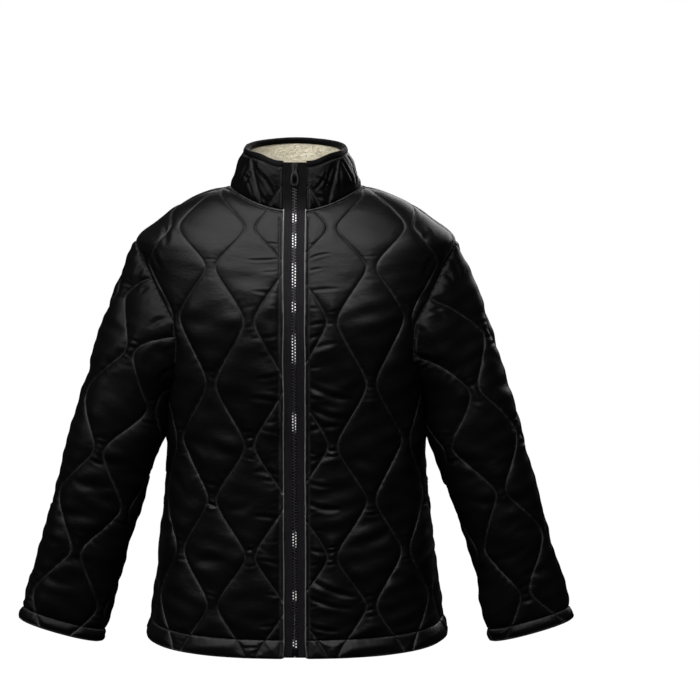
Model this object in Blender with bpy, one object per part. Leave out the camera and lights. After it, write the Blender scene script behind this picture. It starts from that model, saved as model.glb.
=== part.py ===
# Quilted jacket with a stand collar and a full-length zip, modelled as worn and hollow.
# Units are metres, +Z is up, the front faces -Y and the wearer's right side is at -X.
# The origin lies at shoulder level, in the middle of the garment, where the wearer carries it.
# Each cloth panel is a flat pattern piece: it is triangulated flat, with its quilting lines as
# edges, and then laid on the garment's form with the padding raised between the lines.

import math

import bmesh
import bpy
import numpy as np
from mathutils import Matrix
from mathutils import Vector
from mathutils.geometry import delaunay_2d_cdt

for old_object in list(bpy.data.objects):
    bpy.data.objects.remove(old_object, do_unlink=True)

# ---------------------------------------------------------------- driving dimensions

MM = 0.001
ORIGIN_ABOVE_HEM = 0.650     # the origin's height over the ground line of the hem
HEM_HEIGHT = 0.011
UNDERARM_HEIGHT = 0.350
SHOULDER_HEIGHT = 0.589      # shoulder point, at the top of the armhole
NECK_SIDE_HEIGHT = 0.666     # where the shoulder seam meets the collar
SECTION_POWER = 2.4          # roundness of the body's horizontal sections

SEAM_GAP = 0.0003
CLOTH_INSIDE = 0.0016        # inner face below the middle of the cloth
STITCH_RISE = 0.0012         # outer face on a quilting line
SEAM_RISE = 0.0010
HEM_RISE = 0.0020
PUFF_RISE = 0.0062           # outer face in the middle of a padded cell
PUFF_REACH = 0.027           # distance from a line at which the padding is full
UNDERARM_REACH = 0.100       # the padding is pressed thin this near the underarm

QUILT_PITCH = 0.056          # mean distance between neighbouring quilting lines
QUILT_SWING = 0.022          # sideways swing of each line
QUILT_CORNER = 0.93          # 1 is a zigzag, 0 is a sine wave
BODY_ROW = 0.082             # height of one quilting row on the body and the collar
SLEEVE_ROW = 0.0745
LINE_STEP = 0.0180           # distance between points along a quilting line
FINE_STEP = 0.0025           # steps in which lines and edges are measured
RIM_STEP = 0.0150            # distance between points along a panel's edge
TURN_STEP = 0.0065           # and along the sleeve seam, where the underarm turns
TURN_BELOW = 0.030           # the underarm's turn, below and above the biceps line
TURN_ABOVE = 0.160
TURN_WIDTH = 0.070           # and to either side of the sleeve seam
FLANK = 0.0085               # rows of points that shape the padding beside a line
FILL_STEP = 0.026            # points in the middle of a cell
LINE_CLEARANCE = 0.006       # quilting lines stop this far inside the panel's edge
INSIDE_STEP = 0.042          # points on the plain inner face
INSIDE_CLEARANCE = 0.010     # and their least distance from the edge and from each other
CHORD_DEPTH = 0.0016         # triangles cut no deeper across the form than this
CHORD_CLEARANCE = 0.004      # except this near to an edge or a line
SAME_CORNER = 0.003          # two edges that end this close together share a corner

FRONT_EDGE = 0.017           # folded front edges, from the centre line
HEM_STITCH = 0.025           # height of the hem's topstitched band
CUFF_STITCH = 0.017

NECK_HALF_WIDTH = 0.092
NECK_FRONT = 0.076
NECK_BACK = 0.072
NECK_POWER = 2.1
COLLAR_TOP_HALF_WIDTH = 0.071
COLLAR_TOP_FRONT = 0.060
COLLAR_TOP_BACK = 0.062
COLLAR_TOP_HEIGHT = 0.719    # at the sides
COLLAR_TOP_TILT = 0.23       # rise of the collar's top edge per metre towards the back
COLLAR_LENGTH = 0.500
COLLAR_HEIGHT = 0.070
BINDING_LEG = 0.007
BINDING_THICKNESS = 0.0011
BINDING_STITCH = 0.0015      # the cloth is pressed flat this far below the binding
LINING_BOTTOM = 0.003        # the lining starts this far above the neck seam
LINING_THICKNESS = 0.0025
LINING_GAP = 0.0004          # between the collar, its lining and the binding over them

SLEEVE_TOP_CENTRE = Vector((0.2525, -0.030, 0.340))
SLEEVE_CUFF_CENTRE = Vector((0.3410, -0.062, 0.031))
SLEEVE_POWER = 2.15
UNDERARM_TURN = math.radians(26)     # the underarm seam lies this far behind the inner line
ARMHOLE_PLANE = Vector((0.98, 0.0, -0.19)).normalized()
CAP_LOW_HANDLE = 0.36        # how far the cap's curve keeps its way at either end
CAP_HIGH_HANDLE = 0.40
SHOULDER_OUTWARD = 0.35      # 1 where the cap leaves straight out, 0 where it hangs down

TAPE_INNER_EDGE = 0.0033
TAPE_HALF_THICKNESS = 0.0006
CHAIN_HALF_WIDTH = 0.0029
CHAIN_HALF_THICKNESS = 0.0014
ZIP_BOX_BOTTOM = 0.0035      # above the tape's lower end
ZIP_BOX_LENGTH = 0.011
SLIDER_LENGTH = 0.013
SLIDER_FROM_TOP = 0.0145     # lower end of the slider, from the top of the tape
PULL_LENGTH = 0.025
ZIP_STEP = 0.028             # distance between points along the zip

# ---------------------------------------------------------------- tables of the form, in millimetres

BODY_COLUMNS = ("height", "half_width", "front_depth", "back_depth")
BODY_TABLE = (
    (0, 219, 148, 130),
    (45, 210, 146, 127),
    (100, 202, 144, 122),
    (180, 193.5, 140, 114),
    (240, 187, 137, 108),
    (300, 184, 136, 106),
    (350, 186, 138, 107),
    (400, 190, 140, 110),
    (450, 197, 141, 114),
    (500, 205, 136, 116),
    (550, 216, 122, 112),
    (589, 228, 106, 106),
    (614, 200, 92, 100),
    (638, 168, 76, 92),
    (655, 131, 57, 83),
    (666, 92, 38, 74),
    (673, 60, 22, 62),
    (684, 8, 5, 8),
)

ARMHOLE_COLUMNS = ("height", "depth")      # side view of the armhole seam, from the underarm up
ARMHOLE_FRONT_TABLE = (
    (350, 0), (352, 18), (358, 36), (370, 52), (390, 68), (420, 82), (450, 89),
    (476, 89), (500, 78), (520, 65), (546, 48), (568, 32), (580, 21), (586, 12), (588.2, 6), (589, 0),
)
ARMHOLE_BACK_TABLE = (
    (350, 0), (352, 16), (360, 28), (380, 40), (410, 49), (450, 54),
    (490, 55), (520, 53), (545, 46), (565, 35), (580, 22), (586, 12), (588.2, 6), (589, 0),
)

ROW_COLUMNS = ("row", "front_height", "back_height")   # heights of the quilting's pinch rows
ROW_TABLE = (
    (-2, -60, -105),
    (-1, 10, -26),
    (0, 83, 53),
    (1, 156, 132),
    (2, 234, 211),
    (3, 315, 290),
    (4, 401, 370),
    (5, 490, 450),
    (6, 562, 529),
    (7, 615, 600),
    (8, 664, 661),
    (9, 700, 700),
)

SLEEVE_COLUMNS = ("distance", "half_width", "half_depth")   # down the sleeve, from the biceps
SLEEVE_TABLE = (
    (-10, 60, 56),
    (0, 60, 56),
    (110, 59, 50),
    (220, 58, 43),
    (325, 59.5, 38),
    (345, 59.5, 38),
)

MATERIAL_COLUMNS = ("base_color", "roughness", "metallic")
MATERIAL_TABLE = {
    "shell_cloth": ((0.012, 0.012, 0.013), 0.42, 0.0),
    "binding_cloth": ((0.010, 0.010, 0.011), 0.60, 0.0),
    "fleece": ((0.66, 0.60, 0.47), 0.95, 0.0),
    "zip_tape": ((0.014, 0.014, 0.015), 0.75, 0.0),
    "zip_metal": ((0.30, 0.30, 0.31), 0.35, 0.9),
    "dark_metal": ((0.06, 0.06, 0.065), 0.35, 0.8),
}


# ---------------------------------------------------------------- small tools

class SmoothTable:
    # Values between a table's rows, on a curve that never overshoots them.

    def __init__(self, columns, rows):
        data = np.array(rows, dtype=float) * MM
        self.level = data[:, 0]
        self.index = {name: i for i, name in enumerate(columns)}
        self.data = data
        self.slopes = np.column_stack([self.column_slopes(data[:, i]) for i in range(len(columns))])

    def column_slopes(self, values):
        step = np.diff(self.level)
        secant = np.diff(values) / step
        slopes = np.zeros(len(values))
        slopes[0] = secant[0]
        slopes[-1] = secant[-1]
        same_way = secant[:-1] * secant[1:] > 0
        weight_a = 2 * step[1:] + step[:-1]
        weight_b = step[1:] + 2 * step[:-1]
        safe_a = np.where(same_way, secant[:-1], 1.0)
        safe_b = np.where(same_way, secant[1:], 1.0)
        mean = (weight_a + weight_b) / (weight_a / safe_a + weight_b / safe_b)
        slopes[1:-1] = np.where(same_way, mean, 0.0)
        return slopes

    def at(self, name, level):
        return self.value_and_slope(name, level)[0]

    def value_and_slope(self, name, level):
        level = np.asarray(level, dtype=float)
        column = self.index[name]
        row = np.clip(np.searchsorted(self.level, level) - 1, 0, len(self.level) - 2)
        step = self.level[row + 1] - self.level[row]
        u = np.clip((level - self.level[row]) / step, 0.0, 1.0)
        low = self.data[row, column]
        high = self.data[row + 1, column]
        slope_low = self.slopes[row, column] * step
        slope_high = self.slopes[row + 1, column] * step
        value = (low * (2 * u**3 - 3 * u**2 + 1) + slope_low * (u**3 - 2 * u**2 + u)
                 + high * (3 * u**2 - 2 * u**3) + slope_high * (u**3 - u**2))
        slope = (low * (6 * u**2 - 6 * u) + slope_low * (3 * u**2 - 4 * u + 1)
                 + high * (6 * u - 6 * u**2) + slope_high * (3 * u**2 - 2 * u)) / step
        return value, slope


body_table = SmoothTable(BODY_COLUMNS, BODY_TABLE)
armhole_front_table = SmoothTable(ARMHOLE_COLUMNS, ARMHOLE_FRONT_TABLE)
armhole_back_table = SmoothTable(ARMHOLE_COLUMNS, ARMHOLE_BACK_TABLE)
row_table = SmoothTable(ROW_COLUMNS, ROW_TABLE)
sleeve_table = SmoothTable(SLEEVE_COLUMNS, SLEEVE_TABLE)

FRONT = -1
BACK = 1
DEPTH_NAME = {FRONT: "front_depth", BACK: "back_depth"}
ROW_NAME = {FRONT: "front_height", BACK: "back_height"}


def unit(vectors):
    return vectors / np.linalg.norm(vectors, axis=-1, keepdims=True)


def path_length(points):
    steps = np.linalg.norm(np.diff(points, axis=0), axis=1)
    return np.concatenate([[0.0], np.cumsum(steps)])


def even_places(length, step):
    return np.linspace(0.0, 1.0, max(2, int(round(length / step)) + 1))


def read_path(points, places):
    # Points at the given fractions of a path's length.
    length = path_length(points)
    wanted = np.asarray(places) * length[-1]
    return np.column_stack([np.interp(wanted, length, points[:, i]) for i in range(points.shape[1])])


def path_tangents(points):
    return unit(np.gradient(points, axis=0))


def add_material(mesh, material_name):
    look = dict(zip(MATERIAL_COLUMNS, MATERIAL_TABLE[material_name]))
    material = bpy.data.materials.get(material_name) or bpy.data.materials.new(material_name)
    material.use_nodes = True
    shader = material.node_tree.nodes["Principled BSDF"]
    shader.inputs["Base Color"].default_value = (*look["base_color"], 1.0)
    shader.inputs["Roughness"].default_value = look["roughness"]
    shader.inputs["Metallic"].default_value = look["metallic"]
    mesh.materials.append(material)


def add_object(name, vertices, faces, material_name, pivot=(0.0, 0.0, 0.0)):
    # Vertices are given over the hem's ground line; the object's origin is its pivot.
    lift = np.array((0.0, 0.0, ORIGIN_ABOVE_HEM))
    pivot = np.array(pivot) - (lift if any(pivot) else 0.0)
    moved = np.asarray(vertices, dtype=float) - lift - pivot
    mesh = bpy.data.meshes.new(name)
    mesh.from_pydata(moved.tolist(), [], [list(map(int, face)) for face in faces])
    shape = bmesh.new()
    shape.from_mesh(mesh)
    bmesh.ops.recalc_face_normals(shape, faces=shape.faces)
    shape.to_mesh(mesh)
    shape.free()
    mesh.shade_smooth()
    mesh.set_sharp_from_angle(angle=math.radians(40))
    add_material(mesh, material_name)
    added = bpy.data.objects.new(name, mesh)
    added.location = pivot
    bpy.context.collection.objects.link(added)
    return added


# ---------------------------------------------------------------- the body's form

SECTION_ANGLES = np.linspace(0.0, math.pi / 2, 121)


def section_point(side, arc, height):
    # A point on the horizontal section at a height, by its distance around from the centre line.
    arc = np.atleast_1d(np.asarray(arc, dtype=float))
    height = np.broadcast_to(height, arc.shape)
    half_width = body_table.at("half_width", height)[:, None]
    depth = body_table.at(DEPTH_NAME[side], height)[:, None]
    power = 2.0 / SECTION_POWER
    x = half_width * np.sin(SECTION_ANGLES) ** power
    y = depth * np.cos(SECTION_ANGLES) ** power
    y[:, -1] = 0.0
    around = np.cumsum(np.hypot(np.diff(x, axis=1), np.diff(y, axis=1)), axis=1)
    around = np.concatenate([np.zeros((len(arc), 1)), around], axis=1)
    wanted = np.minimum(np.abs(arc), around[:, -1])
    slot = np.clip((around < wanted[:, None]).sum(axis=1) - 1, 0, len(SECTION_ANGLES) - 2)
    rows = np.arange(len(arc))
    before = around[rows, slot]
    share = (wanted - before) / (around[rows, slot + 1] - before)
    angle = SECTION_ANGLES[slot] + share * (SECTION_ANGLES[1] - SECTION_ANGLES[0])
    angle = np.minimum(angle, math.pi / 2)
    across = half_width[:, 0] * np.sin(angle) ** power * np.where(arc < 0, -1.0, 1.0)
    forward = side * depth[:, 0] * np.maximum(np.cos(angle), 0.0) ** power
    return np.column_stack([across, forward, height])


def section_arc(side, x, height):
    # Distance around the section from the centre line to a point with the given x.
    x = np.atleast_1d(np.asarray(x, dtype=float))
    height = np.broadcast_to(height, x.shape)
    half_width = body_table.at("half_width", height)
    depth = body_table.at(DEPTH_NAME[side], height)
    share = np.linspace(0.0, 1.0, 121)[None, :]
    last = np.arcsin(np.clip(np.abs(x) / half_width, 0.0, 1.0) ** (SECTION_POWER / 2))
    angle = last[:, None] * share
    power = 2.0 / SECTION_POWER
    across = half_width[:, None] * np.sin(angle) ** power
    forward = depth[:, None] * np.maximum(np.cos(angle), 0.0) ** power
    around = np.hypot(np.diff(across, axis=1), np.diff(forward, axis=1)).sum(axis=1)
    return around * np.sign(x)


def body_normal(points):
    x = np.abs(points[:, 0])
    y = np.abs(points[:, 1])
    side_depth = np.where(points[:, 1] < 0, *[
        body_table.at(DEPTH_NAME[side], points[:, 2]) for side in (FRONT, BACK)])
    side_slope = np.where(points[:, 1] < 0, *[
        body_table.value_and_slope(DEPTH_NAME[side], points[:, 2])[1] for side in (FRONT, BACK)])
    width, width_slope = body_table.value_and_slope("half_width", points[:, 2])
    n = SECTION_POWER
    normal = np.column_stack([
        np.sign(points[:, 0]) * x ** (n - 1) / width**n,
        np.sign(points[:, 1]) * y ** (n - 1) / side_depth**n,
        -(x**n / width ** (n + 1) * width_slope + y**n / side_depth ** (n + 1) * side_slope),
    ])
    return unit(normal)


def height_of(side, t):
    return row_table.at(ROW_NAME[side], np.asarray(t) / BODY_ROW * MM)


def cloth_level(side, height):
    # The cloth's own upward coordinate, in which the quilting rows are evenly spaced.
    t = np.linspace(-1.5, 9.0, 1600) * BODY_ROW
    return np.interp(height, height_of(side, t), t)


def body_surface(side):
    def surface(flat):
        points = section_point(side, flat[:, 0], height_of(side, flat[:, 1]))
        return points, body_normal(points)
    return surface


# ---------------------------------------------------------------- seams shared by the panels

def armhole_side(side):
    # The armhole seam of one side, from the underarm to the shoulder point.
    table = armhole_front_table if side == FRONT else armhole_back_table
    share = (1 - np.cos(np.linspace(0.0, math.pi, 400))) / 2
    height = UNDERARM_HEIGHT + (SHOULDER_HEIGHT - UNDERARM_HEIGHT) * share
    depth = table.at("depth", height)
    width = body_table.at("half_width", height)
    form_depth = body_table.at(DEPTH_NAME[side], height)
    across = width * (1 - (depth / form_depth) ** SECTION_POWER) ** (1 / SECTION_POWER)
    return np.column_stack([across, side * depth, height])


def seam_frames(points, tangents, leaving):
    # At each point of a body panel's seam: the rib direction that both edges share, stretched so
    # that their faces meet, and the way across from the body to the piece that leaves it.
    first_normal = body_normal(points)
    other_normal = unit(np.cross(leaving, tangents))
    cosine = np.sqrt(np.clip((1 + (first_normal * other_normal).sum(axis=1)) / 2, 0.36, 1.0))
    rib_unit = unit(first_normal + other_normal)
    apart = unit(np.cross(tangents, rib_unit))
    apart *= np.sign((apart * leaving).sum(axis=1))[:, None]
    return rib_unit / cosine[:, None], apart


def armhole_ring():
    # Fractions 0 to 0.5 run up the front from the underarm, 0.5 to 1 down the back.
    front = armhole_side(FRONT)
    back = armhole_side(BACK)[::-1]
    count = 160
    up = read_path(front, np.linspace(0, 1, count))
    down = read_path(back, np.linspace(0, 1, count))
    points = np.vstack([up, down[1:]])
    fraction = np.linspace(0.0, 1.0, len(points))
    closed = np.vstack([points[-2], points, points[1]])
    tangents = unit(closed[2:] - closed[:-2])
    outward = SHOULDER_OUTWARD + (1 - SHOULDER_OUTWARD) * np.cos(math.pi * fraction) ** 2
    axis = (SLEEVE_CUFF_CENTRE - SLEEVE_TOP_CENTRE).normalized()
    leaving = unit(outward[:, None] * np.array(ARMHOLE_PLANE) + (1 - outward[:, None]) * np.array(axis))
    rib, apart = seam_frames(points, tangents, leaving)
    return {"fraction": fraction, "point": points, "leaving": leaving, "rib": rib, "apart": apart}


def neck_plan(angle):
    power = 2.0 / NECK_POWER
    x = NECK_HALF_WIDTH * np.sign(np.sin(angle)) * np.abs(np.sin(angle)) ** power
    depth = np.where(np.cos(angle) > 0, NECK_FRONT, NECK_BACK)
    y = -depth * np.sign(np.cos(angle)) * np.abs(np.cos(angle)) ** power
    return x, y


def height_on_form(x, y):
    # The height at which the body's section passes through a plan point near the neck.
    side_name = np.where(y < 0, "front_depth", "back_depth")
    low = np.full(len(x), 0.560)
    high = np.full(len(x), 0.683)
    for _ in range(40):
        middle = (low + high) / 2
        width = body_table.at("half_width", middle)
        front_depth = body_table.at("front_depth", middle)
        back_depth = body_table.at("back_depth", middle)
        depth = np.where(side_name == "front_depth", front_depth, back_depth)
        outside = (np.abs(x) / width) ** SECTION_POWER + (np.abs(y) / depth) ** SECTION_POWER > 1
        high = np.where(outside, middle, high)
        low = np.where(outside, low, middle)
    return (low + high) / 2


def eased(share):
    share = np.clip(share, 0.0, 1.0)
    return share * share * (3 - 2 * share)


def collar_top(angle):
    x = COLLAR_TOP_HALF_WIDTH * np.sin(angle)
    depth = np.where(np.cos(angle) > 0, COLLAR_TOP_FRONT, COLLAR_TOP_BACK)
    y = -depth * np.cos(angle)
    # The front edges of the collar stay beside the zip, level with the body's front edges, and the
    # top edge runs up from there to its sides.
    turned = np.arccos(np.clip(np.cos(angle), -1.0, 1.0))
    lift = 0.0062 * eased((turned - 0.32) / 0.50) - 0.0031 * eased((turned - 0.85) / 0.75)
    lift -= 0.0031 * eased((turned - 1.60) / 1.20)
    return np.column_stack([x, y, COLLAR_TOP_HEIGHT + COLLAR_TOP_TILT * y + lift])


def neck_ring():
    # Fractions run from the right front edge round the back to the left front edge.
    front_angle = math.asin((FRONT_EDGE / NECK_HALF_WIDTH) ** (NECK_POWER / 2))
    top_angle = math.asin(FRONT_EDGE / COLLAR_TOP_HALF_WIDTH)
    share = np.linspace(0.0, 1.0, 801)
    angle = -front_angle - share * (2 * math.pi - 2 * front_angle)
    x, y = neck_plan(angle)
    dense = np.column_stack([x, y, height_on_form(x, y)])
    fraction = np.linspace(0.0, 1.0, 321)
    points = read_path(dense, fraction)
    top_share = np.interp(fraction, path_length(dense) / path_length(dense)[-1], share)
    top = collar_top(-top_angle - top_share * (2 * math.pi - 2 * top_angle))
    leaving = unit(top - points)
    rib, apart = seam_frames(points, path_tangents(points), leaving)
    right_side = float(np.interp(0.0, points[:160, 1], fraction[:160]))
    return {"fraction": fraction, "point": points, "top": top, "leaving": leaving,
            "rib": rib, "apart": apart, "side": right_side}


ARMHOLE = armhole_ring()
NECK = neck_ring()
UNDERARM_POINT = ARMHOLE["point"][:1]


def ring_read(ring, key, fraction):
    values = ring[key]
    return np.column_stack([np.interp(fraction, ring["fraction"], values[:, i]) for i in range(3)])


def armhole_places(side):
    # Fractions of the armhole ring at which the body panel and the sleeve both have points.
    length = path_length(armhole_side(side))[-1]
    share = even_places(length, RIM_STEP)
    return share / 2 if side == FRONT else 0.5 + share / 2


def neck_places(first, last):
    points = ring_read(NECK, "point", np.linspace(first, last, 60))
    return first + (last - first) * even_places(path_length(points)[-1], RIM_STEP)


class Rim:
    # A panel's edge: flat places, points on the form, rib directions, ways out and outer rises.

    def __init__(self):
        self.flat = []
        self.point = []
        self.rib = []
        self.out = []
        self.rise = []

    def add(self, flat, point, rib, out, rise):
        count = len(flat)
        self.flat.extend(np.asarray(flat))
        self.point.extend(np.asarray(point))
        self.rib.extend(np.asarray(rib))
        self.out.extend(np.broadcast_to(out, (count, 3)))
        self.rise.extend([rise] * count)

    def join_corners(self):
        # Where two edges meet, the corner point moves in from both of them.
        kept = {name: [] for name in ("flat", "point", "rib", "out", "rise")}
        count = len(self.flat)
        for i in range(count):
            after = (i + 1) % count
            if np.linalg.norm(self.flat[i] - self.flat[after]) < SAME_CORNER:
                self.out[after] = self.out[after] + self.out[i]
                if np.linalg.norm(self.rib[i]) > np.linalg.norm(self.rib[after]):
                    self.rib[after] = self.rib[i]
                self.rise[after] = min(self.rise[i], self.rise[after])
                continue
            for name, values in kept.items():
                values.append(getattr(self, name)[i])
        if np.linalg.norm(self.flat[-1] - self.flat[0]) < SAME_CORNER:
            kept["out"][0] = self.out[0]
            kept["rib"][0] = self.rib[0]
            kept["rise"][0] = self.rise[0]
        for name, values in kept.items():
            setattr(self, name, np.array(values))


# ---------------------------------------------------------------- quilting

def swing(phase):
    return np.arcsin(QUILT_CORNER * np.cos(phase)) / math.asin(QUILT_CORNER)


def quilt_lines(first_column, row_height, first_row, low, high, left, right):
    # Lines swing towards and away from each other; columns are where pairs of them pinch.
    # first_column: a column that is pinched on even rows; first_row: the level of row 0.
    start = first_column - QUILT_PITCH / 2
    first = int(math.floor((left - start) / QUILT_PITCH)) - 1
    last = int(math.ceil((right - start) / QUILT_PITCH)) + 1
    level = np.linspace(low, high, int((high - low) / FINE_STEP))
    wave = QUILT_SWING * swing(math.pi * (level - first_row) / row_height)
    lines = []
    for number in range(first, last + 1):
        way = 1.0 if number % 2 == 0 else -1.0
        lines.append(np.column_stack([start + number * QUILT_PITCH + way * wave, level]))
    return lines


def inside_outline(points, outline):
    inside = np.zeros(len(points), dtype=bool)
    ends = np.roll(outline, -1, axis=0)
    for (ax, ay), (bx, by) in zip(outline, ends):
        crosses = (ay > points[:, 1]) != (by > points[:, 1])
        if not crosses.any():
            continue
        at = ax + (points[:, 1] - ay) * (bx - ax) / (by - ay)
        inside ^= crosses & (points[:, 0] < at)
    return inside


def distance_to(points, samples):
    nearest = np.empty(len(points))
    for start in range(0, len(points), 400):
        block = points[start:start + 400]
        apart = block[:, None, :] - samples[None, :, :]
        nearest[start:start + 400] = np.sqrt((apart**2).sum(axis=2).min(axis=1))
    return nearest


def dense_path(points):
    length = path_length(points)[-1]
    return read_path(points, np.linspace(0, 1, max(2, int(length / FINE_STEP) + 1)))


def trim_lines(lines, outline, surface, edge_points):
    # The runs of each line that lie inside the panel, clear of its edge.
    runs = []
    for line in lines:
        dense = dense_path(line)
        good = inside_outline(dense, outline)
        if not good.any():
            continue
        good[good] = distance_to(surface(dense[good])[0], edge_points) > LINE_CLEARANCE
        changes = np.flatnonzero(np.diff(np.concatenate([[0], good.astype(int), [0]])))
        for start, stop in zip(changes[::2], changes[1::2]):
            if stop - start > 6:
                runs.append(dense[start:stop])
    return runs


def padding_rise(distance):
    reach = 1 - np.clip(distance / PUFF_REACH, 0.0, 1.0)
    return STITCH_RISE + (PUFF_RISE - STITCH_RISE) * (1 - reach**2.2)


def thin_out(candidates, surface, kept, spacing):
    # The candidates that lie no closer than the spacing to the kept points or to each other.
    laid = surface(candidates)[0]
    pool = np.vstack([kept, np.empty((len(candidates), 3))])
    count = len(kept)
    chosen = []
    for candidate, place in zip(candidates, laid):
        if count == 0 or ((pool[:count] - place) ** 2).sum(axis=1).min() > spacing**2:
            pool[count] = place
            count += 1
            chosen.append(candidate)
    return np.array(chosen).reshape(-1, 2)


def grid_points(outline, step, row_step=None):
    row_step = row_step or step * 0.866
    low = outline.min(axis=0)
    high = outline.max(axis=0)
    rows = np.arange(low[1], high[1] + row_step, row_step)
    points = []
    for number, level in enumerate(rows):
        across = np.arange(low[0] - step, high[0] + step, step) + (number % 2) * step / 2
        points.append(np.column_stack([across, np.full(len(across), level)]))
    points = np.vstack(points)
    return points[inside_outline(points, outline)]


def triangulate(points, edges, outline):
    # The triangles between the points that lie inside the outline, with the edges kept.
    vectors = [Vector(point) for point in points]
    places, _, triangles, origins, _, _ = delaunay_2d_cdt(vectors, edges, [], 0, 1e-6, True)
    places = np.array([tuple(place) for place in places])
    middles = np.array([places[list(triangle)].mean(axis=0) for triangle in triangles])
    inside = inside_outline(middles, outline)
    return places, [triangle for triangle, kept in zip(triangles, inside) if kept], origins


def loop_edges(count):
    return [(i, (i + 1) % count) for i in range(count)]


def close_triangles(flat, edges, outline, surface, drawn_points):
    # Triangulates, and again with a place added wherever an edge cuts deep across the form.
    places, triangles, _ = triangulate(flat, edges, outline)
    points = surface(places)[0]
    pairs = {tuple(sorted((face[i], face[i - 1]))) for face in triangles for i in range(3)}
    pairs = np.array(sorted(pairs))
    middles = (places[pairs[:, 0]] + places[pairs[:, 1]]) / 2
    on_form = surface(middles)[0]
    depth = np.linalg.norm(on_form - (points[pairs[:, 0]] + points[pairs[:, 1]]) / 2, axis=1)
    free = distance_to(on_form, drawn_points) > CHORD_CLEARANCE
    deep = middles[(depth > CHORD_DEPTH) & free]
    added = thin_out(deep, surface, np.empty((0, 3)), FLANK)
    return triangulate(np.vstack([flat, added]), edges, outline)


def add_panel(name, rim, surface, lines, material_name, plain_above=None, inside_fill=None,
              inside_clearance=INSIDE_CLEARANCE):
    # One closed solid: quilted outer face, plain inner face and the edge between them.
    # Distances are measured on the form, not in the flat pattern, which is stretched in places.
    rim.join_corners()
    outline = rim.flat
    count = len(outline)
    edge_points = surface(dense_path(np.vstack([outline, outline[:1]])))[0]
    runs = trim_lines(lines, outline, surface, edge_points)
    line_places = [read_path(run, even_places(path_length(run)[-1], LINE_STEP)) for run in runs]
    line_points = surface(np.vstack(runs))[0]
    edges = loop_edges(count)
    first = count
    for places in line_places:
        edges += [(first + i, first + i + 1) for i in range(len(places) - 1)]
        first += len(places)

    def clear_inside(places, clearance):
        places = places[inside_outline(places, outline)]
        laid = surface(places)[0]
        clear = distance_to(laid, edge_points) > clearance
        return places[clear & (distance_to(laid, line_points) > clearance)]

    edge_way = unit(np.roll(outline, -1, axis=0) - np.roll(outline, 1, axis=0))[:, ::-1] * (1, -1)
    flanks = [outline + FLANK * edge_way, outline - FLANK * edge_way]
    for places in line_places:
        way = path_tangents(places)[:, ::-1] * (1, -1)
        flanks += [places + FLANK * way, places - FLANK * way]
    flanks = clear_inside(np.vstack(flanks), 0.75 * FLANK)
    flanks = thin_out(flanks, surface, np.empty((0, 3)), 0.8 * FLANK)
    fill = clear_inside(grid_points(outline, FILL_STEP / 2), 1.9 * FLANK)
    fill = fill[distance_to(surface(fill)[0], surface(flanks)[0]) > 1.3 * FLANK]
    fill = thin_out(fill, surface, np.empty((0, 3)), 0.85 * FILL_STEP)
    flat = np.vstack([outline] + line_places + [flanks, fill])
    drawn_points = np.vstack([edge_points, line_points])
    places, outer_triangles, origins = close_triangles(flat, edges, outline, surface, drawn_points)

    def rim_index(origin):
        return next((index for index in origin if index < count), None)

    edge_index = [rim_index(origin) for origin in origins]
    points, normals = surface(places)
    rise = padding_rise(np.minimum(distance_to(points, edge_points), distance_to(points, line_points)))
    pressed = np.clip(distance_to(np.abs(points) * (1, 0, 1) + points * (0, 1, 0), UNDERARM_POINT)
                      / UNDERARM_REACH, 0.0, 1.0)
    rise = STITCH_RISE + (rise - STITCH_RISE) * pressed
    if plain_above is not None:
        rise = np.where(places[:, 1] > plain_above, STITCH_RISE, rise)
    outer = points + normals * rise[:, None]
    rim_outer = rim.point + rim.rib * rim.rise[:, None] - rim.out * SEAM_GAP / 2
    rim_inner = rim.point - rim.rib * CLOTH_INSIDE - rim.out * SEAM_GAP / 2
    outer_rim_at = {}
    for i, index in enumerate(edge_index):
        if index is not None:
            outer[i] = rim_outer[index]
            outer_rim_at[index] = i

    if inside_fill is None:
        inside_fill = grid_points(outline, INSIDE_STEP)
    inner_fill = inside_fill[inside_outline(inside_fill, outline)]
    inner_fill = inner_fill[distance_to(surface(inner_fill)[0], edge_points) > inside_clearance]
    inner_fill = thin_out(inner_fill, surface, np.empty((0, 3)), inside_clearance)
    inner_flat = np.vstack([outline, inner_fill])
    inner_places, inner_triangles, inner_origins = close_triangles(
        inner_flat, loop_edges(count), outline, surface, edge_points)
    inner_points, inner_normals = surface(inner_places)
    inner = inner_points - inner_normals * CLOTH_INSIDE
    inner_rim_at = {}
    for i, origin in enumerate(inner_origins):
        index = rim_index(origin)
        if index is not None:
            inner[i] = rim_inner[index]
            inner_rim_at[index] = len(outer) + i

    faces = [tuple(face) for face in outer_triangles]
    faces += [tuple(len(outer) + i for i in reversed(face)) for face in inner_triangles]
    for i in range(count):
        after = (i + 1) % count
        faces.append((outer_rim_at[after], outer_rim_at[i], inner_rim_at[i]))
        faces.append((outer_rim_at[after], inner_rim_at[i], inner_rim_at[after]))
    return add_object(name, np.vstack([outer, inner]), faces, material_name)


# ---------------------------------------------------------------- body panels

def mirrored(points):
    return points * np.array((-1.0, 1.0, 1.0))


def ridge_points(height):
    zero = np.zeros(len(height))
    return np.column_stack([body_table.at("half_width", height), zero, height])


def flat_of(side, points, arc_sign=1.0):
    arc = section_arc(side, np.abs(points[:, 0]), points[:, 2])
    return np.column_stack([arc_sign * arc, cloth_level(side, points[:, 2])])


def add_ridge_edge(rim, side, height, flip, arc_sign=1.0):
    # The side seam or the shoulder seam, on the body's widest line.
    points = ridge_points(height)
    shown = mirrored(points) if flip else points
    rim.add(flat_of(side, points, arc_sign), shown, body_normal(shown), (0.0, -float(side), 0.0), SEAM_RISE)


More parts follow.
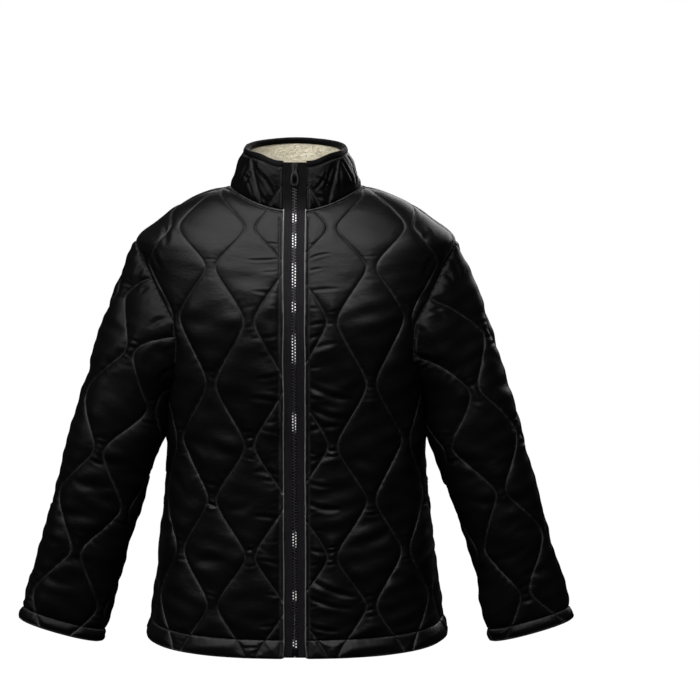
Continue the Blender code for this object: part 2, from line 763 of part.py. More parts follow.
def add_armhole_edge(rim, side, places, flip, arc_sign=1.0):
    points = ring_read(ARMHOLE, "point", places)
    rib = ring_read(ARMHOLE, "rib", places)
    apart = unit(ring_read(ARMHOLE, "apart", places))
    flat = flat_of(side, points, arc_sign)
    if flip:
        points, rib, apart = mirrored(points), mirrored(rib), mirrored(apart)
    rim.add(flat, points, rib, apart, SEAM_RISE)


def add_neck_edge(rim, side, places, arc_signs):
    points = ring_read(NECK, "point", places)
    arc = section_arc(side, np.abs(points[:, 0]), points[:, 2]) * arc_signs
    flat = np.column_stack([arc, cloth_level(side, points[:, 2])])
    rim.add(flat, points, ring_read(NECK, "rib", places), unit(ring_read(NECK, "apart", places)), SEAM_RISE)


def side_heights():
    height = np.linspace(HEM_HEIGHT, UNDERARM_HEIGHT, 60)
    length = path_length(ridge_points(height))[-1]
    return HEM_HEIGHT + (UNDERARM_HEIGHT - HEM_HEIGHT) * even_places(length, RIM_STEP)


def shoulder_heights():
    height = np.linspace(SHOULDER_HEIGHT, NECK_SIDE_HEIGHT, 60)
    places = even_places(path_length(ridge_points(height))[-1], RIM_STEP)
    heights = read_path(ridge_points(height), places)[:, 2]
    heights[-1] = ring_read(NECK, "point", [NECK["side"]])[0, 2]
    return heights


def hem_edge(side, first_arc, last_arc):
    places = even_places(abs(last_arc - first_arc), RIM_STEP)
    arc = first_arc + (last_arc - first_arc) * places
    return section_point(side, arc, HEM_HEIGHT)


def front_edge_points(top_height):
    height = np.linspace(HEM_HEIGHT, top_height, int((top_height - HEM_HEIGHT) / RIM_STEP))
    return section_point(FRONT, section_arc(FRONT, np.full(len(height), FRONT_EDGE), height), height)


def half_arc(side, height):
    return float(section_arc(side, body_table.at("half_width", height), height)[0])


def body_lines(side, first_column, low_arc, high_arc):
    lines = quilt_lines(first_column, BODY_ROW, 0.0, cloth_level(side, 0.0), cloth_level(side, 0.683),
                        low_arc, high_arc)
    band = cloth_level(side, HEM_HEIGHT + HEM_STITCH)
    lines.append(np.array([(low_arc, band), (high_arc, band)]))
    return lines


def add_front(name, flip, first_column):
    rim = Rim()
    hem = hem_edge(FRONT, FRONT_EDGE, half_arc(FRONT, HEM_HEIGHT))
    shown = mirrored(hem) if flip else hem
    rim.add(flat_of(FRONT, hem), shown, body_normal(shown), (0.0, 0.0, 0.0), HEM_RISE)
    add_ridge_edge(rim, FRONT, side_heights(), flip)
    add_armhole_edge(rim, FRONT, armhole_places(FRONT), flip)
    add_ridge_edge(rim, FRONT, shoulder_heights(), flip)
    places = neck_places(0.0, NECK["side"])[::-1]
    points = ring_read(NECK, "point", places)
    rib = ring_read(NECK, "rib", places)
    apart = unit(ring_read(NECK, "apart", places))
    flat = flat_of(FRONT, points)
    if not flip:
        points, rib, apart = mirrored(points), mirrored(rib), mirrored(apart)
    rim.add(flat, points, rib, apart, SEAM_RISE)
    edge = front_edge_points(float(points[-1][2]))[::-1]
    shown = mirrored(edge) if flip else edge
    rim.add(flat_of(FRONT, edge), shown, body_normal(shown), (0.0, 0.0, 0.0), SEAM_RISE)

    def surface(flat_places):
        found, normal = body_surface(FRONT)(flat_places)
        if flip:
            found, normal = mirrored(found), mirrored(normal)
        return found, normal

    lines = body_lines(FRONT, first_column, 0.0, half_arc(FRONT, SHOULDER_HEIGHT))
    return add_panel(name, rim, surface, lines, "shell_cloth")


def add_back(name):
    rim = Rim()
    half = half_arc(BACK, HEM_HEIGHT)
    hem = hem_edge(BACK, -half, half)
    arc = -half + 2 * half * even_places(2 * half, RIM_STEP)
    flat = np.column_stack([arc, np.full(len(arc), cloth_level(BACK, HEM_HEIGHT))])
    rim.add(flat, hem, body_normal(hem), (0.0, 0.0, 0.0), HEM_RISE)
    add_ridge_edge(rim, BACK, side_heights(), False)
    add_armhole_edge(rim, BACK, armhole_places(BACK)[::-1], False)
    add_ridge_edge(rim, BACK, shoulder_heights(), False)
    places = neck_places(NECK["side"], 1 - NECK["side"])[::-1]
    signs = np.sign(ring_read(NECK, "point", places)[:, 0])
    add_neck_edge(rim, BACK, places, signs)
    add_ridge_edge(rim, BACK, shoulder_heights()[::-1], True, -1.0)
    add_armhole_edge(rim, BACK, armhole_places(BACK), True, -1.0)
    add_ridge_edge(rim, BACK, side_heights()[::-1], True, -1.0)
    widest = half_arc(BACK, SHOULDER_HEIGHT)
    lines = body_lines(BACK, 0.0, -widest, widest)
    return add_panel(name, rim, body_surface(BACK), lines, "shell_cloth")


# ---------------------------------------------------------------- sleeves

SLEEVE_AXIS = np.array((SLEEVE_CUFF_CENTRE - SLEEVE_TOP_CENTRE).normalized())
SLEEVE_LENGTH = (SLEEVE_CUFF_CENTRE - SLEEVE_TOP_CENTRE).length
SLEEVE_FORWARD = unit(np.array((0.0, -1.0, 0.0)) + SLEEVE_AXIS * SLEEVE_AXIS[1])
SLEEVE_OUTWARD = unit(np.cross(SLEEVE_FORWARD, SLEEVE_AXIS))
RING_ANGLES = np.linspace(-UNDERARM_TURN, 2 * math.pi - UNDERARM_TURN, 361)


def ring_offsets(half_width, half_depth):
    # A sleeve section from the underarm round the front, the outer side and the back.
    power = 2.0 / SLEEVE_POWER
    cosine = np.cos(RING_ANGLES)
    sine = np.sin(RING_ANGLES)
    outward = -half_width[:, None] * np.sign(cosine) * np.abs(cosine) ** power
    forward = half_depth[:, None] * np.sign(sine) * np.abs(sine) ** power
    return outward, forward


def sleeve_ring(fraction, distance):
    # Points on the straight part of the sleeve, by fraction around and distance down.
    half_width = sleeve_table.at("half_width", distance)
    half_depth = sleeve_table.at("half_depth", distance)
    outward, forward = ring_offsets(half_width, half_depth)
    around = np.cumsum(np.hypot(np.diff(outward, axis=1), np.diff(forward, axis=1)), axis=1)
    around = np.concatenate([np.zeros((len(around), 1)), around], axis=1)
    wanted = fraction * around[:, -1]
    slot = np.clip((around < wanted[:, None]).sum(axis=1) - 1, 0, around.shape[1] - 2)
    rows = np.arange(len(wanted))
    share = (wanted - around[rows, slot]) / (around[rows, slot + 1] - around[rows, slot])
    out = outward[rows, slot] * (1 - share) + outward[rows, slot + 1] * share
    ahead = forward[rows, slot] * (1 - share) + forward[rows, slot + 1] * share
    centre = np.array(SLEEVE_TOP_CENTRE) + distance[:, None] * SLEEVE_AXIS
    points = centre + out[:, None] * SLEEVE_OUTWARD + ahead[:, None] * SLEEVE_FORWARD
    return points, around[:, -1]


def sleeve_cap_curve(fraction):
    # Control points of the curves from the biceps ring up to the armhole seam.
    low, _ = sleeve_ring(fraction, np.zeros(len(fraction)))
    around = armhole_fraction(fraction)
    high = ring_read(ARMHOLE, "point", around)
    leaving = unit(ring_read(ARMHOLE, "leaving", around))
    reach = np.linalg.norm(high - low, axis=1)[:, None]
    return (low, low - SLEEVE_AXIS * reach * CAP_LOW_HANDLE,
            high + leaving * reach * CAP_HIGH_HANDLE, high)


def cap_point(fraction, share):
    low, low_handle, high_handle, high = sleeve_cap_curve(fraction)
    u = share[:, None]
    return ((1 - u) ** 3 * low + 3 * u * (1 - u) ** 2 * low_handle
            + 3 * u**2 * (1 - u) * high_handle + u**3 * high)


def cap_length(fraction):
    steps = [cap_point(fraction, np.full(len(fraction), share)) for share in np.linspace(0, 1, 25)]
    return sum(np.linalg.norm(b - a, axis=1) for a, b in zip(steps[:-1], steps[1:]))


def outer_fraction():
    # How far round from the underarm seam, by the front, the sleeve's outer line lies.
    fraction = np.linspace(0.3, 0.8, 1001)
    points, _ = sleeve_ring(fraction, np.zeros(len(fraction)))
    return float(fraction[np.argmax(points @ SLEEVE_OUTWARD)])


BICEPS_GIRTH = float(sleeve_ring(np.zeros(1), np.zeros(1))[1][0])
OUTER_FRACTION = outer_fraction()


def armhole_fraction(fraction):
    # The shoulder point meets the outer line; the front is longer than the back.
    return np.interp(fraction, (0.0, OUTER_FRACTION, 1.0), (0.0, 0.5, 1.0))


def sleeve_fraction(around):
    return np.interp(around, (0.0, 0.5, 1.0), (0.0, OUTER_FRACTION, 1.0))


def sleeve_girth(level):
    return sleeve_ring(np.zeros(len(level)), np.maximum(-level, 0.0))[1]


def sleeve_point(fraction, level):
    fraction = np.clip(fraction, 0.0, 1.0)
    straight, _ = sleeve_ring(fraction, np.maximum(-level, 0.0))
    cap = cap_point(fraction, np.clip(level / cap_length(fraction), 0.0, 1.0))
    return np.where((level > 0)[:, None], cap, straight)


def sleeve_surface(flat):
    # Flat coordinates: distance around from the outer line, and height above the biceps ring.
    level = flat[:, 1]
    fraction = flat[:, 0] / sleeve_girth(level) + OUTER_FRACTION
    points = sleeve_point(fraction, level)
    step = 0.0015
    low = np.clip(fraction - step, 0, 1)
    high = np.clip(fraction + step, 0, 1)
    around = sleeve_point(high, level) - sleeve_point(low, level)
    along = sleeve_point(fraction, level + step) - sleeve_point(fraction, level - step)
    return points, unit(np.cross(around, along))


def add_sleeve(name, flip, first_column, first_row):
    rim = Rim()
    girth = float(sleeve_girth(np.array([-SLEEVE_LENGTH]))[0])
    places = even_places(girth, RIM_STEP)
    flat = np.column_stack([(places - OUTER_FRACTION) * girth, np.full(len(places), -SLEEVE_LENGTH)])
    points, normals = sleeve_surface(flat)
    rim.add(flat, points, normals, (0.0, 0.0, 0.0), HEM_RISE)
    underarm = float(cap_length(np.zeros(1))[0])
    straight = -SLEEVE_LENGTH * (1 - even_places(SLEEVE_LENGTH, RIM_STEP))
    seam_level = np.concatenate([straight, underarm * even_places(underarm, TURN_STEP)[1:]])
    girths = sleeve_girth(seam_level)
    back_flat = np.column_stack([(1 - OUTER_FRACTION) * girths, seam_level])
    front_flat = np.column_stack([-OUTER_FRACTION * girths, seam_level])
    points = sleeve_point(np.zeros(len(seam_level)), seam_level)
    _, back_normal = sleeve_surface(back_flat)
    _, front_normal = sleeve_surface(front_flat)
    normals = unit(back_normal + front_normal)
    apart = unit(np.cross(normals, path_tangents(points)))
    apart *= np.sign(apart @ SLEEVE_FORWARD)[:, None]
    rim.add(back_flat, points, normals, apart, SEAM_RISE)
    around = np.concatenate([armhole_places(FRONT), armhole_places(BACK)[1:]])[::-1]
    fraction = sleeve_fraction(around)
    cap_flat = np.column_stack([(fraction - OUTER_FRACTION) * BICEPS_GIRTH, cap_length(fraction)])
    rim.add(cap_flat, ring_read(ARMHOLE, "point", around), ring_read(ARMHOLE, "rib", around),
            -unit(ring_read(ARMHOLE, "apart", around)), SEAM_RISE)
    rim.add(front_flat[::-1], points[::-1], normals[::-1], -apart[::-1], SEAM_RISE)

    top = float(cap_length(np.full(1, OUTER_FRACTION))[0]) + QUILT_PITCH
    left = -OUTER_FRACTION * BICEPS_GIRTH
    right = left + BICEPS_GIRTH
    lines = quilt_lines(first_column, SLEEVE_ROW, first_row, -SLEEVE_LENGTH, top, left, right)
    band = -SLEEVE_LENGTH + CUFF_STITCH
    lines.append(np.array([(left, band), (right, band)]))
    inside_fill = sleeve_inside_fill(left, right, top)
    made = add_panel(name, rim, sleeve_surface, lines, "shell_cloth", inside_fill=inside_fill,
                     inside_clearance=0.6 * INSIDE_CLEARANCE)
    if flip:
        mirror_mesh(made)
    return made


def sleeve_inside_fill(left, right, top):
    # Places of the inner face: close together where the underarm turns, wider elsewhere.
    turn = grid_points(flat_box(left, right, -TURN_BELOW, TURN_ABOVE), 0.009)
    turn = turn[np.minimum(turn[:, 0] - left, right - turn[:, 0]) < TURN_WIDTH]
    cap = grid_points(flat_box(left, right, -0.010, top), FILL_STEP)
    wide = grid_points(flat_box(left, right, -SLEEVE_LENGTH, -0.020), FILL_STEP, INSIDE_STEP)
    return np.vstack([turn, cap, wide])


def flat_box(left, right, low, high):
    return np.array([(left, low), (right, low), (right, high), (left, high)])


def mirror_mesh(made):
    shape = bmesh.new()
    shape.from_mesh(made.data)
    bmesh.ops.transform(shape, matrix=Matrix.Scale(-1.0, 4, (1.0, 0.0, 0.0)), verts=shape.verts)
    bmesh.ops.recalc_face_normals(shape, faces=shape.faces)
    shape.to_mesh(made.data)
    shape.free()


# ---------------------------------------------------------------- collar, its lining and binding

def collar_point(fraction, share):
    low = ring_read(NECK, "point", fraction)
    high = ring_read(NECK, "top", fraction)
    return low + (high - low) * share[:, None]


def collar_surface(flat):
    fraction = np.clip(flat[:, 0] / COLLAR_LENGTH + 0.5, 0.0, 1.0)
    share = flat[:, 1] / COLLAR_HEIGHT
    points = collar_point(fraction, share)
    step = 0.002
    around = (collar_point(np.clip(fraction + step, 0, 1), share)
              - collar_point(np.clip(fraction - step, 0, 1), share))
    along = collar_point(fraction, share + step) - collar_point(fraction, share - step)
    return points, unit(np.cross(along, around))


def collar_ring_places():
    side = NECK["side"]
    front = neck_places(0.0, side)
    back = neck_places(side, 1 - side)
    return np.concatenate([front, back[1:], (1 - front[::-1])[1:]])


def add_collar(name):
    rim = Rim()
    around = collar_ring_places()
    arc = (around - 0.5) * COLLAR_LENGTH
    zero = (0.0, 0.0, 0.0)
    rim.add(np.column_stack([arc, np.zeros(len(arc))]), ring_read(NECK, "point", around),
            ring_read(NECK, "rib", around), -unit(ring_read(NECK, "apart", around)), SEAM_RISE)
    level = COLLAR_HEIGHT * even_places(COLLAR_HEIGHT, RIM_STEP)
    left = np.column_stack([np.full(len(level), COLLAR_LENGTH / 2), level])
    points, normals = collar_surface(left)
    rim.add(left, points, normals, zero, SEAM_RISE)
    top = np.column_stack([arc[::-1], np.full(len(arc), COLLAR_HEIGHT)])
    points, normals = collar_surface(top)
    rim.add(top, points, normals, zero, STITCH_RISE)
    right = np.column_stack([np.full(len(level), -COLLAR_LENGTH / 2), level[::-1]])
    points, normals = collar_surface(right)
    rim.add(right, points, normals, zero, SEAM_RISE)
    band = COLLAR_HEIGHT - BINDING_LEG - BINDING_STITCH
    half = COLLAR_LENGTH / 2
    lines = quilt_lines(0.0, BODY_ROW, 0.0, -0.01, band - LINE_CLEARANCE, -half, half)
    lines.append(np.array([(-half, band), (half, band)]))
    levels = COLLAR_HEIGHT * np.array((0.25, 0.5, 0.75))
    fill = np.vstack([np.column_stack([arc, np.full(len(arc), level)]) for level in levels])
    return add_panel(name, rim, collar_surface, lines, "shell_cloth", plain_above=band - SEAM_GAP,
                     inside_fill=fill)


def sweep_faces(size, rows):
    # Faces of a closed profile of so many points, swept through the rows, with both ends capped.
    faces = [tuple(reversed(range(size)))]
    for row in range(rows - 1):
        for i in range(size):
            after = (i + 1) % size
            faces.append((row * size + i, row * size + after,
                          (row + 1) * size + after, (row + 1) * size + i))
    faces.append(tuple((rows - 1) * size + i for i in range(size)))
    return faces


def add_collar_strip(name, around, profile, material_name):
    # A strip that follows the collar: the profile lists (rise over the cloth, level) places.
    arc = (around - 0.5) * COLLAR_LENGTH
    columns = []
    for rise, level in profile:
        points, normals = collar_surface(np.column_stack([arc, np.full(len(arc), level)]))
        columns.append(points + normals * rise)
    vertices = np.stack(columns, axis=1).reshape(-1, 3)
    return add_object(name, vertices, sweep_faces(len(profile), len(around)), material_name)


def add_collar_lining(name):
    outer = -CLOTH_INSIDE - LINING_GAP
    inner = outer - LINING_THICKNESS
    middle = COLLAR_HEIGHT / 2
    profile = ((outer, LINING_BOTTOM), (outer, middle), (outer, COLLAR_HEIGHT),
               (inner, COLLAR_HEIGHT), (inner, middle), (inner, LINING_BOTTOM))
    return add_collar_strip(name, collar_ring_places(), profile, "fleece")


def add_collar_binding(name):
    # Cloth folded over the top edges of the collar and its lining.
    outer = STITCH_RISE + LINING_GAP
    inner = -CLOTH_INSIDE - LINING_THICKNESS - 2 * LINING_GAP
    thick = BINDING_THICKNESS
    low = COLLAR_HEIGHT - BINDING_LEG
    top = COLLAR_HEIGHT + SEAM_GAP
    profile = ((outer, low), (outer + thick, low), (outer + thick, top), (outer, top + thick),
               (inner, top + thick), (inner - thick, top), (inner - thick, low), (inner, low),
               (inner, top), (outer, top))
    return add_collar_strip(name, collar_ring_places(), profile, "binding_cloth")


# ---------------------------------------------------------------- zip

def zip_path():
    # The centre line of the front, from the hem up over the neck seam to the collar's top edge.
    neck = float(height_on_form(np.array([0.0]), np.array([-NECK_FRONT]))[0])
    height = np.linspace(HEM_HEIGHT, neck, 40)[:-1]
    body = np.column_stack([np.zeros(len(height)), -body_table.at("front_depth", height), height])
    low = np.array((0.0, -NECK_FRONT, neck))
    high = np.array((0.0, -COLLAR_TOP_FRONT, COLLAR_TOP_HEIGHT - COLLAR_TOP_TILT * COLLAR_TOP_FRONT))
    collar = low + (high - low) * np.linspace(0.0, 1.0, 7)[:, None]
    return np.vstack([body, collar])


ZIP_PATH = zip_path()
ZIP_LENGTH = float(path_length(ZIP_PATH)[-1])


def zip_frames(start, stop, step=ZIP_STEP):
    # Frames (point, normal, across) along the zip, by distance from the hem.
    places = start + (stop - start) * even_places(stop - start, step)
    points = read_path(ZIP_PATH, places / ZIP_LENGTH)
    reach = 0.004
    ahead = read_path(ZIP_PATH, np.clip((places + reach) / ZIP_LENGTH, 0, 1))
    behind = read_path(ZIP_PATH, np.clip((places - reach) / ZIP_LENGTH, 0, 1))
    along = unit(ahead - behind)
    across = np.broadcast_to((1.0, 0.0, 0.0), along.shape)
    normals = unit(np.cross(across, along))
    normals *= -np.sign(normals[:, 1])[:, None]
    return list(zip(points, normals, across))


def add_zip_sweep(name, frames, profile, material_name):
    # The profile lists (rise, across) places over the zip's centre line.
    vertices = [point + normal * rise + across * aside
                for point, normal, across in frames for rise, aside in profile]
    return add_object(name, vertices, sweep_faces(len(profile), len(frames)), material_name)


def add_zip_tape(name, way):
    edge = FRONT_EDGE - SEAM_GAP
    half = TAPE_HALF_THICKNESS
    profile = ((half, way * TAPE_INNER_EDGE), (half, way * edge), (-half, way * edge),
               (-half, way * TAPE_INNER_EDGE))
    return add_zip_sweep(name, zip_frames(0.0, ZIP_LENGTH), profile, "zip_tape")


def add_zip_chain(name):
    start = ZIP_BOX_BOTTOM + ZIP_BOX_LENGTH + SEAM_GAP
    stop = ZIP_LENGTH - SLIDER_FROM_TOP - SEAM_GAP
    half = CHAIN_HALF_THICKNESS
    wide = CHAIN_HALF_WIDTH
    bevel = 0.0008
    profile = ((half, -wide + bevel), (half, wide - bevel), (half - bevel, wide), (-half, wide),
               (-half, -wide), (half - bevel, -wide))
    return add_zip_sweep(name, zip_frames(start, stop), profile, "zip_metal")


def add_zip_box(name):
    # The retainer at the lower end: a web between the tapes under a plate over them.
    plate = TAPE_HALF_THICKNESS + SEAM_GAP
    top = plate + 0.0018
    under = -0.0009
    web = CHAIN_HALF_WIDTH
    wide = 0.0041
    bevel = 0.0006
    profile = ((top, -wide + bevel), (top, wide - bevel), (top - bevel, wide), (plate, wide),
               (plate, web), (under, web), (under, -web), (plate, -web), (plate, -wide),
               (top - bevel, -wide))
    frames = zip_frames(ZIP_BOX_BOTTOM, ZIP_BOX_BOTTOM + ZIP_BOX_LENGTH, ZIP_BOX_LENGTH / 2)
    return add_zip_sweep(name, frames, profile, "dark_metal")


# Slider profile, seen along the zip: front plate, web between the tapes, back plate.
PLATE_GAP = TAPE_HALF_THICKNESS + 0.0004
PLATE_THICKNESS = 0.0014
PLATE_HALF_WIDTH = 0.0048
SLIDER_WEB = 0.0024
PLATE_FRONT = PLATE_GAP + PLATE_THICKNESS
BAIL_HALF_WIDTH = 0.0011
BAIL_HOLE = 0.0022
BAIL_BEAM = 0.0010
BAIL_START = 0.0020
BAIL_STOP = 0.0105
PULL_BAR_RADIUS = 0.00065
PULL_AXIS_RISE = PLATE_FRONT + BAIL_HOLE / 2
PULL_AXIS_ALONG = 0.0045     # from the slider's lower end


def slider_frame():
    # Matrix of the slider: x across, y outwards, z up along the zip, at its lower end.
    start = ZIP_LENGTH - SLIDER_FROM_TOP
    point, normal, _ = zip_frames(start, start + SLIDER_LENGTH)[0]
    upper = zip_frames(start, start + SLIDER_LENGTH)[-1][0]
    along = unit(upper - point)
    normal = unit(normal - along * (normal @ along))
    return Matrix(((1.0, normal[0], along[0], point[0]), (0.0, normal[1], along[1], point[1]),
                   (0.0, normal[2], along[2], point[2]), (0.0, 0.0, 0.0, 1.0)))


def extruded(profile, low, high, plane):
    # A prism of a closed profile: plane "xy" is extruded along z, plane "yz" along x.
    vertices = []
    for level in (low, high):
        for a, b in profile:
            vertices.append((a, b, level) if plane == "xy" else (level, a, b))
    size = len(profile)
    faces = [tuple(reversed(range(size))), tuple(range(size, 2 * size))]
    faces += [(i, (i + 1) % size, size + (i + 1) % size, size + i) for i in range(size)]
    return vertices, faces


def placed(vertices, frame):
    return np.array([tuple(frame @ Vector(vertex)) for vertex in vertices])


def add_zip_slider(name):
    frame = slider_frame()
    wide = PLATE_HALF_WIDTH
    web = SLIDER_WEB
    gap = PLATE_GAP
    front = PLATE_FRONT
    back = -gap - PLATE_THICKNESS
    bevel = 0.0006
    plates = ((-wide, front - bevel), (-wide + bevel, front), (wide - bevel, front), (wide, front - bevel),
              (wide, gap), (web, gap), (web, -gap), (wide, -gap), (wide, back + bevel),
              (wide - bevel, back), (-wide + bevel, back), (-wide, back + bevel), (-wide, -gap),
              (-web, -gap), (-web, gap), (-wide, gap))
    vertices, faces = extruded(plates, 0.0, SLIDER_LENGTH, "xy")
    slider = add_object(name, placed(vertices, frame), faces, "dark_metal")
    top = front + BAIL_HOLE
    foot = 0.0012
    sunk = front - bevel
    arch = ((sunk, BAIL_START), (top, BAIL_START), (top + BAIL_BEAM, BAIL_START + foot),
            (top + BAIL_BEAM, BAIL_STOP - foot), (top, BAIL_STOP), (sunk, BAIL_STOP),
            (sunk, BAIL_STOP - foot), (top, BAIL_STOP - foot), (top, BAIL_START + foot),
            (sunk, BAIL_START + foot))
    vertices, faces = extruded(arch, -BAIL_HALF_WIDTH, BAIL_HALF_WIDTH, "yz")
    bail = add_object("bail_shape", placed(vertices, frame), faces, "dark_metal")
    union = slider.modifiers.new("bail", "BOOLEAN")
    union.operation = "UNION"
    union.object = bail
    bail.hide_render = True
    bail.display_type = "WIRE"
    return slider


def pull_outline():
    # The middle line of the pull's loop, as a closed row of (across, down) places.
    narrow = 0.0026
    wide = 0.0052
    corner = 0.0006
    straight_until = 0.010
    round_from = PULL_LENGTH - wide
    angles = np.linspace(0.0, math.pi, 11)
    arc = [(wide * math.cos(a), round_from + wide * math.sin(a)) for a in angles]
    places = [(narrow - corner, 0.0), (narrow, corner), (narrow, 0.004), (wide, straight_until)]
    places += arc
    places += [(-x, down) for x, down in reversed(places[:4])]
    return np.array(places)


def add_zip_pull(name):
    frame = slider_frame()
    pivot = frame @ Vector((0.0, PULL_AXIS_RISE, PULL_AXIS_ALONG))
    middle = pull_outline()
    count = len(middle)
    way = unit(np.roll(middle, -1, axis=0) - np.roll(middle, 1, axis=0))
    aside = way[:, ::-1] * (1, -1)
    angles = np.linspace(0.0, 2 * math.pi, 8, endpoint=False) + math.pi / 8
    vertices = []
    for place, side in zip(middle, aside):
        for angle in angles:
            across, down = place + side * PULL_BAR_RADIUS * math.cos(angle)
            rise = PULL_AXIS_RISE + PULL_BAR_RADIUS * math.sin(angle)
            vertices.append((across, rise, PULL_AXIS_ALONG - down))
    size = len(angles)
    faces = []
    for row in range(count):
        after = (row + 1) % count
        for i in range(size):
            j = (i + 1) % size
            faces.append((row * size + i, row * size + j, after * size + j, after * size + i))
    return add_object(name, placed(vertices, frame), faces, "dark_metal", pivot=tuple(pivot))


# ---------------------------------------------------------------- the jacket

# Where the quilting starts differs from panel to panel, as each is cut from the cloth by itself.
add_front("front_right", flip=True, first_column=0.0065)
add_front("front_left", flip=False, first_column=-0.003)
add_back("back")
add_sleeve("sleeve_right", flip=True, first_column=-0.077, first_row=-0.052)
add_sleeve("sleeve_left", flip=False, first_column=-0.077, first_row=-0.113)
add_collar("collar")
add_collar_lining("collar_lining")
add_collar_binding("collar_binding")
add_zip_tape("zip_tape_right", -1.0)
add_zip_tape("zip_tape_left", 1.0)
add_zip_chain("zip_chain")
add_zip_box("zip_box")
add_zip_slider("zip_slider")
add_zip_pull("zip_pull")
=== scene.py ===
import math

import bmesh
import bpy
import numpy as np
from mathutils import Matrix, Vector
from mathutils.geometry import delaunay_2d_cdt
from mathutils.kdtree import KDTree


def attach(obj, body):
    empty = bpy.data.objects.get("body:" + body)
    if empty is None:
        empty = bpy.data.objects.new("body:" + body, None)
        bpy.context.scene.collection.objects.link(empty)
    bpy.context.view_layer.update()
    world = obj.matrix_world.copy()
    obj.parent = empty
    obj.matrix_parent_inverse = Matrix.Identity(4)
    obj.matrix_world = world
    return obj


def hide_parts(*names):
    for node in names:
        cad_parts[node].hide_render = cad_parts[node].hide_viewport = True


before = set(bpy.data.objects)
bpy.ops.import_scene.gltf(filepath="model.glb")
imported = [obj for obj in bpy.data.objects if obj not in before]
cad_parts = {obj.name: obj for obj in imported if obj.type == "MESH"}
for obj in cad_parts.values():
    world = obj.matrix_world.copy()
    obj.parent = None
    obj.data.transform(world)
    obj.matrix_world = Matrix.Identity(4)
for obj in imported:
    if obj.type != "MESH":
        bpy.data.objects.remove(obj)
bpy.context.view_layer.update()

mm = 0.001
front = -1   # the sign of Y on each side
back = 1


def addObject(name, data):
    made = bpy.data.objects.new(name, data)
    bpy.context.collection.objects.link(made)
    return made


# the camera
view = {"distance": 3.2, "height": 0.235, "aside": 0.078, "tilt": 8.1, "lens": 114.4, "sensor": 36.0}
cameraData = bpy.data.cameras.new("camera")
cameraData.lens = view["lens"]
cameraData.sensor_width = view["sensor"]
camera = addObject("camera", cameraData)
camera.location = (view["aside"], -view["distance"], view["height"])
camera.rotation_euler = (math.radians(90 - view["tilt"]), 0, 0)
bpy.context.scene.camera = camera
bpy.context.scene.view_settings.view_transform = "Standard"


class Value:
    # a shader socket in Python's own maths
    def __init__(self, finish, socket):
        self.finish = finish
        self.socket = socket

    def calc(self, operation, *others):
        return self.finish.node("ShaderNodeMath", {"operation": operation}, [self, *others]).out(0)

    def __add__(self, other):
        return self.calc("ADD", other)

    def __radd__(self, other):
        return self.calc("ADD", other)

    def __sub__(self, other):
        return self.calc("SUBTRACT", other)

    def __rsub__(self, other):
        return self.finish.node("ShaderNodeMath", {"operation": "SUBTRACT"}, [other, self]).out(0)

    def __mul__(self, other):
        return self.calc("MULTIPLY", other)

    def __rmul__(self, other):
        return self.calc("MULTIPLY", other)

    def spread(self, low, high, toLow=0.0, toHigh=1.0):
        ends = [self, low, high, toLow, toHigh]
        return self.finish.node("ShaderNodeMapRange", {"clamp": True}, ends).out(0)


class Made:
    def __init__(self, finish, made):
        self.finish = finish
        self.made = made

    def out(self, which):
        return Value(self.finish, self.made.outputs[which])


class Finish:
    # one material: constants go on the shader's sockets, what varies is linked
    def __init__(self, name, **constants):
        self.material = bpy.data.materials.new(name)
        self.material.use_nodes = True
        self.tree = self.material.node_tree
        self.shader = self.tree.nodes["Principled BSDF"]
        for socket, value in constants.items():
            self.shader.inputs[socket.replace("_", " ")].default_value = value

    def node(self, kind, settings=None, inputs=()):
        made = self.tree.nodes.new(kind)
        for key, value in (settings or {}).items():
            setattr(made, key, value)
        pairs = inputs.items() if isinstance(inputs, dict) else enumerate(inputs)
        for which, value in pairs:
            if isinstance(value, Value):
                self.tree.links.new(value.socket, made.inputs[which])
            elif value is not None:
                made.inputs[which].default_value = value
        return Made(self, made)

    def link(self, value, socket):
        self.tree.links.new(value.socket, self.shader.inputs[socket])

    def place(self, kind="Object"):
        return self.node("ShaderNodeTexCoord").out(kind)

    def scaled(self, vector, scale, turn=(0.0, 0.0, 0.0)):
        return self.node("ShaderNodeMapping", {}, {"Vector": vector, "Scale": scale, "Rotation": turn}).out(0)

    def noise(self, vector, scale, detail=2.0, roughness=0.5):
        return self.node("ShaderNodeTexNoise", {}, {"Vector": vector, "Scale": scale, "Detail": detail,
                                                    "Roughness": roughness}).out(0)

    def stored(self, name):
        # a value stored on the mesh's points
        return self.node("ShaderNodeAttribute", {"attribute_name": name}).out("Fac")

    def bands(self, vector, scale, direction="X", distortion=0.0):
        return self.node("ShaderNodeTexWave", {"wave_type": "BANDS", "bands_direction": direction},
                         {"Vector": vector, "Scale": scale, "Distortion": distortion}).out(1)

    def mixed(self, factor, low, high):
        return self.node("ShaderNodeMix", {"data_type": "RGBA"}, {0: factor, 6: low, 7: high}).out(2)

    def bump(self, height, distance, strength=1.0, normal=None):
        inputs = {"Strength": strength, "Distance": distance, "Height": height}
        if normal is not None:
            inputs["Normal"] = normal
        return self.node("ShaderNodeBump", {}, inputs).out(0)


def colour(level, tint=(1.0, 1.0, 1.0)):
    return tuple(level * t for t in tint) + (1.0,)


